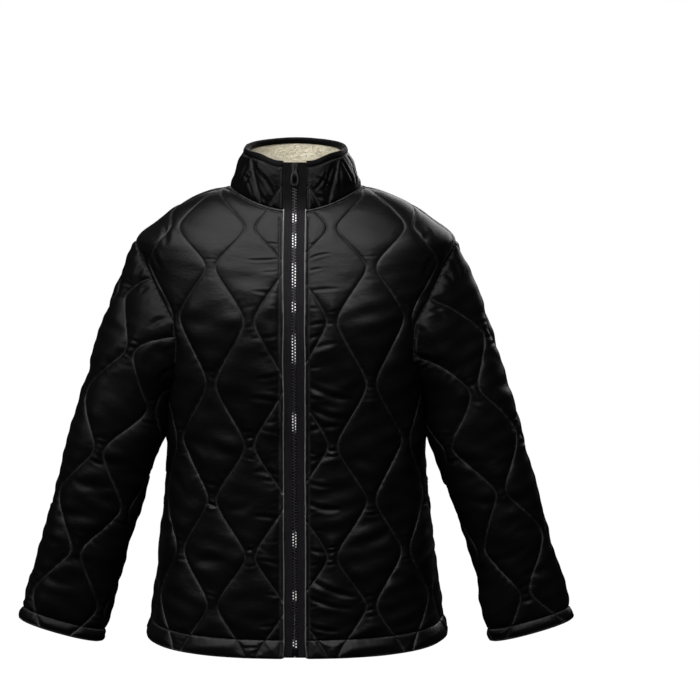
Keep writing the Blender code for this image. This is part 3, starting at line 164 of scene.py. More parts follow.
def makeShellCloth(name, gloss, smooth, rough):
    # downproof nylon: satin, with a fine plain weave and small crinkles; folded edges and the flanks beside
    # the lines carry a painted highlight
    finish = Finish(name, Specular_IOR_Level=gloss, Sheen_Weight=0.0)
    flat = finish.place("UV")
    weave = finish.bands(flat, 900.0, "X") * 0.5 + finish.bands(flat, 900.0, "Y") * 0.5
    crinkle = finish.noise(finish.scaled(flat, (60.0, 140.0, 1.0)), 1.0, 3.0, 0.55)
    crease = finish.noise(flat, 300.0, 2.0, 0.6)
    fine = finish.bump(weave, 0.00006, 0.3)
    small = finish.bump(crease, 0.0003, 0.3, fine)
    finish.link(finish.bump(crinkle, 0.0010, 0.4, small), "Normal")
    patches = finish.noise(flat, 22.0, 3.0)
    cloth = finish.mixed(patches, colour(0.0016, (1, 0.98, 1.04)), colour(0.0030, (1, 0.97, 1.02)))
    # painted highlight: a pale colour and a little more roughness where the value stored on the points is
    # high
    worn = finish.stored("worn")
    finish.link(finish.mixed(worn, cloth, colour(0.32, (1, 0.99, 1.0))), "Base Color")
    finish.link(finish.noise(flat, 9.0, 2.0).spread(0.3, 0.7, smooth, rough) + worn * 0.15, "Roughness")
    return finish.material


def makeBindingCloth():
    finish = Finish("binding_cloth", Specular_IOR_Level=0.06, Sheen_Weight=0.0)
    place = finish.place()
    twill = finish.bands(finish.scaled(place, (700.0, 700.0, 700.0), (0.0, 0.0, 0.7)), 1.0, "DIAGONAL")
    finish.link(finish.bump(twill, 0.0001, 0.5), "Normal")
    finish.link(finish.noise(place, 60.0).spread(0.3, 0.7, 0.45, 0.62), "Roughness")
    finish.link(finish.mixed(finish.noise(place, 45.0), colour(0.0012), colour(0.0026)), "Base Color")
    return finish.material


def makeFleece():
    # short pile, clumped into soft tufts
    finish = Finish("fleece", Roughness=0.95, Specular_IOR_Level=0.1, Sheen_Weight=0.25, Sheen_Roughness=0.6,
                    Emission_Strength=0.11)
    # painted light: a faint cream glow, so the shade in the pile is filled in
    finish.shader.inputs["Emission Color"].default_value = (0.78, 0.73, 0.58, 1.0)
    place = finish.place()
    tufts = finish.noise(place, 260.0, 3.0, 0.6)
    hairs = finish.noise(place, 1500.0, 2.0, 0.7)
    finish.link(finish.bump(tufts, 0.0004, 0.25, finish.bump(hairs, 0.0003, 0.25)), "Normal")
    shade = tufts.spread(0.3, 0.7)
    finish.link(finish.mixed(shade, (0.63, 0.58, 0.45, 1.0), (0.70, 0.66, 0.53, 1.0)), "Base Color")
    return finish.material


def makeZipTape():
    finish = Finish("zip_tape", Roughness=0.60, Specular_IOR_Level=0.07, Sheen_Weight=0.0)
    place = finish.place()
    ribs = finish.bands(place, 420.0, "X")
    picks = finish.bands(place, 800.0, "Z", 1.5)
    finish.link(finish.bump(ribs * 0.6 + picks * 0.4, 0.00018, 0.7), "Normal")
    grain = finish.mixed(finish.noise(finish.scaled(place, (700.0, 90.0, 60.0)), 1.0),
                         colour(0.004, (1.1, 0.95, 1.15)), colour(0.012, (1.1, 0.97, 1.15)))
    # painted shade: the tape is coloured darker along the collar
    height = finish.node("ShaderNodeSeparateXYZ", {}, [place]).out(2)
    finish.link(finish.mixed(height.spread(-0.020, 0.010), grain, colour(0.0006)), "Base Color")
    return finish.material


def makeThread(name, level):
    finish = Finish(name, Roughness=0.55, Specular_IOR_Level=0.3, Sheen_Weight=0.1)
    place = finish.place()
    twist = finish.noise(place, 1800.0, 1.0)
    finish.link(finish.mixed(twist, colour(level * 0.7), colour(level * 1.3)), "Base Color")
    finish.link(finish.bump(twist, 0.0001, 0.5), "Normal")
    return finish.material


def makeMetal(name, level, roughness, paintedGlintRuns=()):
    finish = Finish(name, Metallic=0.9)
    place = finish.place()
    scratches = finish.noise(finish.scaled(place, (900.0, 900.0, 260.0)), 1.0, 3.0, 0.6)
    shade = finish.mixed(scratches, colour(level * 0.7), colour(level * 1.25))
    if paintedGlintRuns:
        # painted glints: in runs along the chain the teeth are coloured near white and less metallic,
        # standing for where they catch the light
        parts = finish.node("ShaderNodeSeparateXYZ", {}, [place])
        height, aside = parts.out(2), parts.out(0).calc("ABSOLUTE")
        glint = 0.0
        for middle, half in paintedGlintRuns:
            apart = (height - middle).calc("ABSOLUTE")
            glint = apart.spread(half * mm * 0.8, half * mm * 1.5, 1.0, 0.0) + glint
        # only the heads of the teeth, on both sides of the middle
        glint = glint * aside.spread(0.0009, 0.0013) * aside.spread(0.0024, 0.0029, 1.0, 0.0)
        shade = finish.mixed(glint, shade, colour(0.95))
        finish.link(glint.spread(0.0, 1.0, 0.9, 0.1), "Metallic")
    finish.link(shade, "Base Color")
    finish.link(scratches.spread(0.3, 0.7, roughness * 0.8, roughness * 1.25), "Roughness")
    finish.link(finish.bump(scratches, 0.00006, 0.3), "Normal")
    return finish.material


# heights of the painted glints' middles in the frame, in metres, and half their lengths in millimetres
paintedGlintTeeth = ((-0.0214, 4.5), (-0.0514, 7), (-0.098, 12), (-0.141, 5.5), (-0.199, 15), (-0.303, 10),
               (-0.4695, 8.5), (-0.5495, 5.5), (-0.6195, 5))

materials = {
    "shell_cloth": makeShellCloth("shell_cloth", gloss=0.145, smooth=0.35, rough=0.43),
    # painted shade: the sleeves and collar take copies of the shell cloth with less gloss, so they show
    # darker than the body
    "sleeve_cloth": makeShellCloth("sleeve_cloth", gloss=0.068, smooth=0.34, rough=0.42),
    "collar_cloth": makeShellCloth("collar_cloth", gloss=0.042, smooth=0.16, rough=0.21),
    "binding_cloth": makeBindingCloth(),
    "fleece": makeFleece(),
    "zip_tape": makeZipTape(),
    "quilting_thread": makeThread("quilting_thread", level=0.010),
    "zip_metal": makeMetal("zip_metal", level=0.035, roughness=0.30, paintedGlintRuns=paintedGlintTeeth),
    "dark_metal": makeMetal("dark_metal", level=0.018, roughness=0.36),
    "slider_metal": makeMetal("slider_metal", level=0.008, roughness=0.42),
}
print("materials made")


# the garment's form; heights are over the hem's ground line
form = {
    "originAboveHem": 0.650, "hem": 0.011, "underarm": 0.350, "shoulder": 0.589, "neckSide": 0.666,
    "neckLow": 0.560, "top": 0.683, "power": 2.4, "seamGap": 0.0003, "inside": 0.0016, "frontEdge": 0.017,
    "bodyRow": 0.082,
}
bodyRows = (   # height, half width, front depth, back depth, in millimetres
    (0, 219, 148, 130), (45, 210, 146, 127), (100, 202, 144, 122), (180, 193.5, 140, 114),
    (240, 187, 137, 108), (300, 184, 136, 106), (350, 186, 138, 107), (400, 190, 140, 110),
    (450, 197, 141, 114), (500, 205, 136, 116), (550, 216, 122, 112), (589, 228, 106, 106),
    (614, 200, 92, 100), (638, 168, 76, 92), (655, 131, 57, 83), (666, 92, 38, 74),
    (673, 60, 22, 62), (684, 8, 5, 8),
)
armholeRows = {   # height, depth
    front: ((350, 0), (352, 18), (358, 36), (370, 52), (390, 68), (420, 82), (450, 89), (476, 89), (500, 78),
            (520, 65), (546, 48), (568, 32), (580, 21), (586, 12), (588.2, 6), (589, 0)),
    back: ((350, 0), (352, 16), (360, 28), (380, 40), (410, 49), (450, 54), (490, 55), (520, 53), (545, 46),
           (565, 35), (580, 22), (586, 12), (588.2, 6), (589, 0)),
}
quiltRows = (   # row, front height, back height
    (-2, -60, -105), (-1, 10, -26), (0, 83, 53), (1, 156, 132), (2, 234, 211), (3, 315, 290), (4, 401, 370),
    (5, 490, 450), (6, 562, 529), (7, 615, 600), (8, 664, 661), (9, 700, 700),
)
sleeveRows = ((-10, 60, 56), (0, 60, 56), (110, 59, 50), (220, 58, 43), (325, 59.5, 38), (345, 59.5, 38))
sleeve = {
    "top": (0.2525, -0.030, 0.340), "cuff": (0.3410, -0.062, 0.031), "power": 2.15, "underarmTurn": 26.0,
    "armholePlane": (0.98, 0.0, -0.19), "lowHandle": 0.36, "highHandle": 0.40, "shoulderOutward": 0.35,
}
neck = {
    "halfWidth": 0.092, "front": 0.076, "back": 0.072, "power": 2.1, "topHalfWidth": 0.071,
    "topFront": 0.060, "topBack": 0.062, "topHeight": 0.719, "tilt": 0.23, "length": 0.500, "height": 0.070,
    # the top edge's line: each rise, the angle it starts at and the angle it takes
    "lifts": ((0.0062, 0.32, 0.50), (-0.0031, 0.85, 0.75), (-0.0031, 1.60, 1.20)),
}
padding = {   # rises over the middle of the cloth, and the distances they take
    "stitch": 0.0010, "seam": 0.0010, "hem": 0.0054, "hemUneven": 0.0006, "shoulder": 0.0012,
    "shoulderReach": 0.0014, "soft": 0.0015, "softReach": 0.0070, "crown": 0.0024, "crownPower": 2.2,
    "reach": 0.027, "underarmReach": 0.100, "underarmLeast": 0.25, "uneven": 0.16, "unevenLength": 0.085,
    "calmReach": 0.10, "groove": 0.0008, "grooveWidth": 0.0007, "cellReach": 0.012, "foldLength": 0.030,
    "driftLength": 0.120,
}
quilt = {"pitch": 0.056, "swing": 0.0205, "corner": 0.87}


class Table:
    # smooth values between rows given in millimetres, which never overshoot them
    def __init__(self, rows):
        data = np.array(rows, dtype=float) * mm
        self.level = data[:, 0]
        self.data = data
        self.slopes = np.column_stack([self.columnSlopes(data[:, i]) for i in range(data.shape[1])])

    def columnSlopes(self, values):
        step = np.diff(self.level)
        secant = np.diff(values) / step
        sameWay = secant[:-1] * secant[1:] > 0
        weightA = 2 * step[1:] + step[:-1]
        weightB = step[1:] + 2 * step[:-1]
        mean = (weightA + weightB) / (weightA / np.where(sameWay, secant[:-1], 1.0)
                                      + weightB / np.where(sameWay, secant[1:], 1.0))
        return np.concatenate([secant[:1], np.where(sameWay, mean, 0.0), secant[-1:]])

    def read(self, column, level):
        level = np.asarray(level, dtype=float)
        row = np.clip(np.searchsorted(self.level, level) - 1, 0, len(self.level) - 2)
        step = self.level[row + 1] - self.level[row]
        u = np.clip((level - self.level[row]) / step, 0.0, 1.0)
        low, high = self.data[row, column], self.data[row + 1, column]
        slopeLow, slopeHigh = self.slopes[row, column] * step, self.slopes[row + 1, column] * step
        value = (low * (2 * u**3 - 3 * u**2 + 1) + slopeLow * (u**3 - 2 * u**2 + u)
                 + high * (3 * u**2 - 2 * u**3) + slopeHigh * (u**3 - u**2))
        slope = (low * (6 * u**2 - 6 * u) + slopeLow * (3 * u**2 - 4 * u + 1)
                 + high * (6 * u - 6 * u**2) + slopeHigh * (3 * u**2 - 2 * u)) / step
        return value, slope

    def at(self, column, level):
        return self.read(column, level)[0]


bodyTable = Table(bodyRows)
armholeTables = {side: Table(rows) for side, rows in armholeRows.items()}
quiltTable = Table(quiltRows)
sleeveTable = Table(sleeveRows)
depthColumn = {front: 2, back: 3}
rowColumn = {front: 1, back: 2}


def unit(vectors):
    return vectors / np.linalg.norm(vectors, axis=-1, keepdims=True)


def pathLength(points):
    return np.concatenate([[0.0], np.cumsum(np.linalg.norm(np.diff(points, axis=0), axis=1))])


def between(at, known, points):
    return np.column_stack([np.interp(at, known, points[:, i]) for i in range(points.shape[1])])


def evenPlaces(length, step):
    return np.linspace(0.0, 1.0, max(2, int(round(length / step)) + 1))


def readPath(points, places):
    length = pathLength(points)
    return between(np.asarray(places) * length[-1], length, points)


def pathTangents(points):
    return unit(np.gradient(points, axis=0))


def girthSteps(x, y):
    steps = np.cumsum(np.hypot(np.diff(x, axis=1), np.diff(y, axis=1)), axis=1)
    return np.concatenate([np.zeros((len(x), 1)), steps], axis=1)


def girthPlace(around, wanted):
    # which step of each row holds the wanted distance, and how far along it
    rows = np.arange(len(wanted))
    slot = np.clip((around < wanted[:, None]).sum(axis=1) - 1, 0, around.shape[1] - 2)
    return rows, slot, (wanted - around[rows, slot]) / (around[rows, slot + 1] - around[rows, slot])


def pieceByPiece(count, size):
    # long lists are worked through in parts, to spare memory
    return [slice(start, start + size) for start in range(0, count, size)]


def sectionPoint(side, arc, height):
    # a point on the body's horizontal section, by its distance around from the centre line
    arc = np.atleast_1d(np.asarray(arc, dtype=float))
    height = np.broadcast_to(height, arc.shape)
    width = bodyTable.at(1, height)
    depth = bodyTable.at(depthColumn[side], height)
    power = 2.0 / form["power"]
    angles = np.linspace(0.0, math.pi / 2, 81)
    result = np.empty((len(arc), 3))
    for part in pieceByPiece(len(arc), 6000):
        x = width[part, None] * np.sin(angles) ** power
        y = depth[part, None] * np.cos(angles) ** power
        y[:, -1] = 0.0
        around = girthSteps(x, y)
        _, slot, share = girthPlace(around, np.minimum(np.abs(arc[part]), around[:, -1]))
        angle = np.minimum(angles[slot] + share * (angles[1] - angles[0]), math.pi / 2)
        result[part, 0] = width[part] * np.sin(angle) ** power * np.where(arc[part] < 0, -1.0, 1.0)
        result[part, 1] = side * depth[part] * np.maximum(np.cos(angle), 0.0) ** power
    result[:, 2] = height
    return result


def sectionArc(side, x, height):
    x = np.atleast_1d(np.asarray(x, dtype=float))
    height = np.broadcast_to(height, x.shape)
    width = bodyTable.at(1, height)
    depth = bodyTable.at(depthColumn[side], height)
    last = np.arcsin(np.clip(np.abs(x) / width, 0.0, 1.0) ** (form["power"] / 2))
    angle = last[:, None] * np.linspace(0.0, 1.0, 81)[None, :]
    power = 2.0 / form["power"]
    across = width[:, None] * np.sin(angle) ** power
    forward = depth[:, None] * np.maximum(np.cos(angle), 0.0) ** power
    return np.hypot(np.diff(across, axis=1), np.diff(forward, axis=1)).sum(axis=1) * np.sign(x)


def bodyNormal(points):
    x, y = np.abs(points[:, 0]), np.abs(points[:, 1])
    isFront = points[:, 1] < 0
    (frontDepth, frontSlope), (backDepth, backSlope) = [bodyTable.read(c, points[:, 2]) for c in (2, 3)]
    depth = np.where(isFront, frontDepth, backDepth)
    depthSlope = np.where(isFront, frontSlope, backSlope)
    width, widthSlope = bodyTable.read(1, points[:, 2])
    n = form["power"]
    return unit(np.column_stack([
        np.sign(points[:, 0]) * x ** (n - 1) / width**n,
        np.sign(points[:, 1]) * y ** (n - 1) / depth**n,
        -(x**n / width ** (n + 1) * widthSlope + y**n / depth ** (n + 1) * depthSlope)]))


def heightOf(side, level):
    return quiltTable.at(rowColumn[side], np.asarray(level) / form["bodyRow"] * mm)


def clothLevel(side, height):
    levels = np.linspace(-1.5, 9.0, 1600) * form["bodyRow"]
    return np.interp(height, heightOf(side, levels), levels)


def bodySurface(side):
    def surface(flat):
        points = sectionPoint(side, flat[:, 0], heightOf(side, flat[:, 1]))
        return points, bodyNormal(points)
    return surface


def seamFrames(points, tangents, leaving):
    # the rib both edges of a seam share, and the way across it
    firstNormal = bodyNormal(points)
    otherNormal = unit(np.cross(leaving, tangents))
    cosine = np.sqrt(np.clip((1 + (firstNormal * otherNormal).sum(axis=1)) / 2, 0.36, 1.0))
    rib = unit(firstNormal + otherNormal)
    apart = unit(np.cross(tangents, rib))
    apart *= np.sign((apart * leaving).sum(axis=1))[:, None]
    return rib / cosine[:, None], apart


def armholeSide(side):
    share = (1 - np.cos(np.linspace(0.0, math.pi, 400))) / 2
    height = form["underarm"] + (form["shoulder"] - form["underarm"]) * share
    depth = armholeTables[side].at(1, height)
    width = bodyTable.at(1, height)
    formDepth = bodyTable.at(depthColumn[side], height)
    across = width * (1 - (depth / formDepth) ** form["power"]) ** (1 / form["power"])
    return np.column_stack([across, side * depth, height])


sleeveTop = np.array(sleeve["top"])
sleeveCuff = np.array(sleeve["cuff"])
sleeveLength = float(np.linalg.norm(sleeveCuff - sleeveTop))
sleeveAxis = (sleeveCuff - sleeveTop) / sleeveLength
sleeveForward = unit(np.array((0.0, -1.0, 0.0)) + sleeveAxis * sleeveAxis[1])
sleeveOutward = unit(np.cross(sleeveForward, sleeveAxis))


def armholeRing():
    places = np.linspace(0, 1, 160)
    points = np.vstack([readPath(armholeSide(front), places), readPath(armholeSide(back)[::-1], places)[1:]])
    fraction = np.linspace(0.0, 1.0, len(points))
    closed = np.vstack([points[-2], points, points[1]])
    tangents = unit(closed[2:] - closed[:-2])
    least = sleeve["shoulderOutward"]
    outward = (least + (1 - least) * np.cos(math.pi * fraction) ** 2)[:, None]
    leaving = unit(outward * unit(np.array(sleeve["armholePlane"])) + (1 - outward) * sleeveAxis)
    rib, apart = seamFrames(points, tangents, leaving)
    return {"fraction": fraction, "point": points, "leaving": leaving, "rib": rib, "apart": apart}


def neckPlan(angle):
    power = 2.0 / neck["power"]
    x = neck["halfWidth"] * np.sign(np.sin(angle)) * np.abs(np.sin(angle)) ** power
    depth = np.where(np.cos(angle) > 0, neck["front"], neck["back"])
    return x, -depth * np.sign(np.cos(angle)) * np.abs(np.cos(angle)) ** power


def heightOnForm(x, y):
    low, high = np.full(len(x), form["neckLow"]), np.full(len(x), form["top"])
    for _ in range(40):
        middle = (low + high) / 2
        depth = np.where(y < 0, bodyTable.at(2, middle), bodyTable.at(3, middle))
        n = form["power"]
        outside = (np.abs(x) / bodyTable.at(1, middle)) ** n + (np.abs(y) / depth) ** n > 1
        high = np.where(outside, middle, high)
        low = np.where(outside, low, middle)
    return (low + high) / 2


def eased(share):
    share = np.clip(share, 0.0, 1.0)
    return share * share * (3 - 2 * share)


def collarTop(angle):
    x = neck["topHalfWidth"] * np.sin(angle)
    y = -np.where(np.cos(angle) > 0, neck["topFront"], neck["topBack"]) * np.cos(angle)
    turned = np.arccos(np.clip(np.cos(angle), -1.0, 1.0))
    lift = sum(rise * eased((turned - start) / reach) for rise, start, reach in neck["lifts"])
    return np.column_stack([x, y, neck["topHeight"] + neck["tilt"] * y + lift])


def neckRing():
    # from the right front edge round the back to the left front edge
    lowAngle = math.asin((form["frontEdge"] / neck["halfWidth"]) ** (neck["power"] / 2))
    topAngle = math.asin(form["frontEdge"] / neck["topHalfWidth"])
    share = np.linspace(0.0, 1.0, 801)
    x, y = neckPlan(-lowAngle - share * (2 * math.pi - 2 * lowAngle))
    dense = np.column_stack([x, y, heightOnForm(x, y)])
    fraction = np.linspace(0.0, 1.0, 321)
    points = readPath(dense, fraction)
    topShare = np.interp(fraction, pathLength(dense) / pathLength(dense)[-1], share)
    top = collarTop(-topAngle - topShare * (2 * math.pi - 2 * topAngle))
    leaving = unit(top - points)
    rib, apart = seamFrames(points, pathTangents(points), leaving)
    side = float(np.interp(0.0, points[:160, 1], fraction[:160]))
    return {"fraction": fraction, "point": points, "top": top, "rib": rib, "apart": apart, "side": side}


armhole = armholeRing()
neckline = neckRing()
underarmPoint = armhole["point"][0]


# the cloth's own shape when worn, over the plain form: under the arm the sleeve rests on the side, and
# its outer side hangs flatter; height, shift of the sleeve's outer side, of its inner side and of the
# body's side, outward and in mm
upperSettle = (
    (273, 0, -1.5, 0), (285, 0, -3, 0), (297, 0, -4.5, 0.5), (308, 0, -6, 2.5), (320, 0, -7, 3),
    (331, 0, -6, 3), (345, 0, -4.5, 2.5), (360, 0, -3.5, 2), (375, -1, -1.5, 1), (392, -3, 0, 0),
    (430, -5, 0, 0), (460, -7.5, 0, 0), (490, -9.5, 0, 0), (520, -10.5, 0, 0), (550, -9.5, 0, 0),
    (575, -6, 0, 0), (592, 0, 0, 0), (700, 0, 0, 0),
)
settleRows = {
    -1: ((0, 0, 0, 0), (260, 0, 0, 0), *upperSettle),
    1: ((0, 0, 0, 0), (30, 0, 0, 0), (70, 0, 3, 0), (110, 0, 6, 0), (150, 0, 7, 0), (190, 0, 5, 0),
        (235, 0, 1, 0), *upperSettle),
}
# where each shift sets in across the garment, the width it takes, and how the sleeve's middle leans out
settle = {"from": 0.10, "outer": 0.212, "outerWidth": 0.045, "innerWidth": 0.042, "body": 0.125,
          "bodyWidth": 0.045, "lean": 0.286}
settleTables = {side: Table(rows) for side, rows in settleRows.items()}


def settled(points, onSleeve):
    points = np.array(points, dtype=float)
    for side, table in settleTables.items():
        near = np.flatnonzero(points[:, 0] * side > settle["from"])
        across, height = np.abs(points[near, 0]), points[near, 2]
        if onSleeve:
            middle = sleeve["top"][0] + settle["lean"] * (sleeve["top"][2] - height)
            shift = table.at(1, height) * eased((across - settle["outer"]) / settle["outerWidth"])
            shift += table.at(2, height) * eased((middle - across) / settle["innerWidth"])
        else:
            shift = table.at(3, height) * eased((across - settle["body"]) / settle["bodyWidth"])
        points[near, 0] += side * shift
    return points


def ringRead(ring, key, fraction):
    return between(fraction, ring["fraction"], ring[key])


def armholePlaces(side):
    share = evenPlaces(pathLength(armholeSide(side))[-1], cloth["edgeStep"])
    return share / 2 if side == front else 0.5 + share / 2


def neckPlaces(first, last):
    points = ringRead(neckline, "point", np.linspace(first, last, 60))
    return first + (last - first) * evenPlaces(pathLength(points)[-1], cloth["edgeStep"])


# fine cloth: flat pattern pieces, triangulated flat and laid on the form
cloth = {
    "edgeStep": 0.0028, "step": 0.0028, "flanks": (0.0009, 0.0021), "insideStep": 0.010, "corner": 0.0012,
    # least distances of flat places from the stitched lines and the edges
    "lineClear": 0.0031, "edgeClear": 0.0012, "flankClear": 0.8 * 0.0009, "flankEdgeClear": 0.0009,
    "foldClear": 0.0006, "insideClear": 0.45 * 0.010, "liftReach": 0.0035,
}
puckers = {"length": 0.0115, "strengthLength": 0.07, "reach": 0.0065, "start": 0.0010, "edgeFade": 0.004,
           "lineFade": 0.0025, "neckGroove": 0.0013, "neckGrooveWidth": 0.0015}
# the painted highlight: pale colour along the stitched lines, most on the flanks that face up to the light,
# and on folded edges
sheenLook = {"least": 0.04, "facingUp": 0.27, "fromLine": 0.0012, "width": 0.0006, "length": 0.05, "level": 0.4,
        "edgeWidth": 0.0004, "atEdge": 0.8}
# folds between two lines that come together, in mm
pinch = {"most": 5, "away": (2.0, 22.0), "half": (3, 6), "widens": 0.45, "aside": 3, "tilt": 3.0, "bow": 1.5,
         "width": (1.7, 2.9), "depth": (0.25, 1.0), "nearest": 6, "calm": 0.3}


class Rim:
    # a piece's edge: flat places, points on the form, rib directions, ways out, rises, how far it
    # rolls, how far it lies over its neighbour and how much painted highlight it carries
    def __init__(self):
        self.rows = []

    def add(self, flat, point, rib, out, rise, roll=0.0, lift=0.0, worn=0.0):
        out = np.broadcast_to(out, (len(flat), 3))
        rise = np.broadcast_to(rise, len(flat))
        for i in range(len(flat)):
            values = (flat[i], point[i], rib[i], out[i], rise[i], roll, lift, worn)
            self.rows.append([np.array(value, dtype=float) for value in values])

    def close(self):
        # where two edges meet, one corner point stands for both
        kept = []
        for i, row in enumerate(self.rows):
            after = self.rows[(i + 1) % len(self.rows)]
            if np.linalg.norm(row[0] - after[0]) < cloth["corner"]:
                after[3] = after[3] + row[3]
                if np.linalg.norm(row[2]) > np.linalg.norm(after[2]):
                    after[2] = row[2]
                after[4] = min(row[4], after[4])
                continue
            kept.append(row)
        names = ("flat", "point", "rib", "out", "rise", "roll", "lift", "worn")
        for k, name in enumerate(names):
            setattr(self, name, np.array([row[k] for row in kept]))


def insideOutline(points, outline):
    inside = np.zeros(len(points), dtype=bool)
    for (ax, ay), (bx, by) in zip(outline, np.roll(outline, -1, axis=0)):
        low, high = min(ay, by), max(ay, by)
        near = np.flatnonzero((points[:, 1] >= low) & (points[:, 1] < high))
        if len(near):
            at = ax + (points[near, 1] - ay) * (bx - ax) / (by - ay)
            inside[near] ^= points[near, 0] < at
    return inside


def nearest(samples, points):
    # distance to the nearest sample and which one it is
    tree = KDTree(len(samples))
    for i, sample in enumerate(samples):
        tree.insert(sample, i)
    tree.balance()
    found = [tree.find(point)[1:] for point in points]
    return np.array([f[1] for f in found]), np.array([f[0] for f in found])


def triangulate(points, edges, outline):
    vectors = [Vector(point) for point in points]
    places, _, triangles, origins, _, _ = delaunay_2d_cdt(vectors, edges, [], 0, 1e-7, True)
    places = np.array([tuple(place) for place in places])
    corners = np.array(triangles)
    inside = insideOutline(places[corners].mean(axis=1), outline)
    return places, corners[inside], origins


def hexGrid(outline, step):
    low, high = outline.min(axis=0), outline.max(axis=0)
    rows = []
    for number, level in enumerate(np.arange(low[1], high[1], step * 0.866)):
        across = np.arange(low[0], high[0], step) + (number % 2) * step / 2
        rows.append(np.column_stack([across, np.full(len(across), level)]))
    points = np.vstack(rows)
    return points[insideOutline(points, outline)]


def waves(points, seed, length, stretch=(1.0, 1.0)):
    # soft unevenness between about -1 and 1
    rng = np.random.default_rng(seed)
    total = np.zeros(len(points))
    for _ in range(9):
        angle = rng.uniform(0, 2 * math.pi)
        across = points[:, 0] * math.cos(angle) / stretch[0] + points[:, 1] * math.sin(angle) / stretch[1]
        turns = across * 2 * math.pi / (length * rng.uniform(0.75, 1.35))
        total += np.sin(turns + rng.uniform(0, 2 * math.pi))
    return total / 4.2


def along(s, seed, length):
    return waves(np.column_stack([s, np.zeros(len(s))]), seed, length)


def creaseShape(flat, crease):
    # a soft trough with a low ridge on both sides, along a bent path that fades at its ends;
    # the row gives both ends, the bow of the path between them, the width and the depth, in mm
    x0, y0, x1, y1, bow, width, depth = np.array(crease) * mm
    start, end = np.array((x0, y0)), np.array((x1, y1))
    way = end - start
    length = np.linalg.norm(way)
    way = way / length
    aside = np.array((-way[1], way[0]))
    fromMiddle = np.linalg.norm(flat - (start + end) / 2, axis=1)
    near = np.flatnonzero(fromMiddle < length / 2 + 4 * width + abs(bow))
    result = np.zeros(len(flat))
    if len(near) == 0:
        return result
    t = ((flat[near] - start) @ way) / length
    apart = (flat[near] - start) @ aside - bow * 4 * t * (1 - t)
    beyond = np.maximum(np.maximum(-t, t - 1), 0.0) * length
    fade = np.sin(math.pi * np.clip(t, 0.0, 1.0)) ** 0.6 * np.exp(-((beyond / width) ** 2))
    local = width * (0.55 + 0.45 * fade)
    apart = np.abs(apart)
    trough = -np.exp(-(apart / local) ** 2) + 0.5 * np.exp(-((apart - 2.0 * local) / (1.1 * local)) ** 2)
    result[near] = depth * fade * trough
    return result


def swing(phase):
    return np.arcsin(quilt["corner"] * np.cos(phase)) / math.asin(quilt["corner"])


def quiltLines(firstColumn, rowHeight, firstRow, low, high, left, right):
    start = firstColumn - quilt["pitch"] / 2
    first = int(math.floor((left - start) / quilt["pitch"])) - 1
    last = int(math.ceil((right - start) / quilt["pitch"])) + 1
    level = np.linspace(low, high, int((high - low) / 0.001))
    wave = quilt["swing"] * swing(math.pi * (level - firstRow) / rowHeight)
    # sewn by hand-guided cloth, a line wanders a little
    return [np.column_stack([start + number * quilt["pitch"] + (1 if number % 2 == 0 else -1) * wave
                             + 0.0009 * along(level, 900 + number, 0.13), level])
            for number in range(first, last + 1)]


def pinchFolds(seed, firstColumn, rowHeight, firstRow, low, high, left, right, strength, calmFrom=None):
    # short uneven folds across the cloth between two lines where they come together, over and under it
    rng = np.random.default_rng(seed)
    start = firstColumn - quilt["pitch"] / 2
    folds = []
    rows = range(int((low - firstRow) / rowHeight) - 1, int((high - firstRow) / rowHeight) + 2)
    columns = range(int((left - start) / quilt["pitch"]) - 1, int((right - start) / quilt["pitch"]) + 2)
    for row in rows:
        for number in columns:
            if (row + number) % 2:
                continue
            x = (start + (number + 0.5) * quilt["pitch"]) / mm
            y = (firstRow + row * rowHeight) / mm
            here = strength * (pinch["calm"] if calmFrom and y * mm > calmFrom else 1.0)
            for side in (-1, 1):
                for _ in range(rng.integers(1, pinch["most"])):
                    off = rng.uniform(*pinch["away"])
                    half = rng.uniform(*pinch["half"]) + pinch["widens"] * off
                    off *= side
                    middle = x + rng.uniform(-pinch["aside"], pinch["aside"])
                    tilt = rng.uniform(-pinch["tilt"], pinch["tilt"])
                    folds.append((middle - half, y + off - tilt, middle + half, y + off + tilt,
                                  rng.uniform(-pinch["bow"], pinch["bow"]), rng.uniform(*pinch["width"]),
                                  here * rng.uniform(*pinch["depth"])
                                  * (0.5 if abs(off) < pinch["nearest"] else 1.0)))
    return folds


def insideRuns(lines, outline, clearance):
    # the stretches of each line inside the piece, as flat places 1 mm apart
    runs = []
    edge = readPath(np.vstack([outline, outline[:1]]), np.linspace(0, 1, 2400))
    edge3 = np.column_stack([edge, np.zeros(len(edge))])
    for line in lines:
        dense = readPath(line, evenPlaces(pathLength(line)[-1], 0.001))
        good = insideOutline(dense, outline)
        if not good.any():
            continue
        apart = nearest(edge3, np.column_stack([dense[good], np.zeros(good.sum())]))[0]
        good[good] = apart > clearance
        changes = np.flatnonzero(np.diff(np.concatenate([[0], good.astype(int), [0]])))
        runs += [dense[a:b] for a, b in zip(changes[::2], changes[1::2]) if b - a > 12]
    return runs


def addMesh(name, vertices, faces, material, uv=None, worn=None):
    # vertices are over the hem's ground line
    moved = np.asarray(vertices, dtype=float) - (0.0, 0.0, form["originAboveHem"])
    mesh = bpy.data.meshes.new(name)
    mesh.from_pydata(moved.tolist(), [], [list(map(int, face)) for face in faces])
    if uv is not None:
        layer = mesh.uv_layers.new(name="cut")
        corner = np.zeros(len(mesh.loops), dtype=np.int32)
        mesh.loops.foreach_get("vertex_index", corner)
        layer.data.foreach_set("uv", np.asarray(uv, dtype=np.float32)[corner].ravel())
    if worn is not None:
        stored = mesh.attributes.new("worn", "FLOAT", "POINT")
        stored.data.foreach_set("value", np.asarray(worn, dtype=np.float32))
    shape = bmesh.new()
    shape.from_mesh(mesh)
    bmesh.ops.recalc_face_normals(shape, faces=shape.faces)
    shape.to_mesh(mesh)
    shape.free()
    mesh.shade_smooth()
    mesh.materials.append(materials[material])
    return addObject(name, mesh)


def dress(piece, body, node=None):
    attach(piece, body)
    if node:
        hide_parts(node)


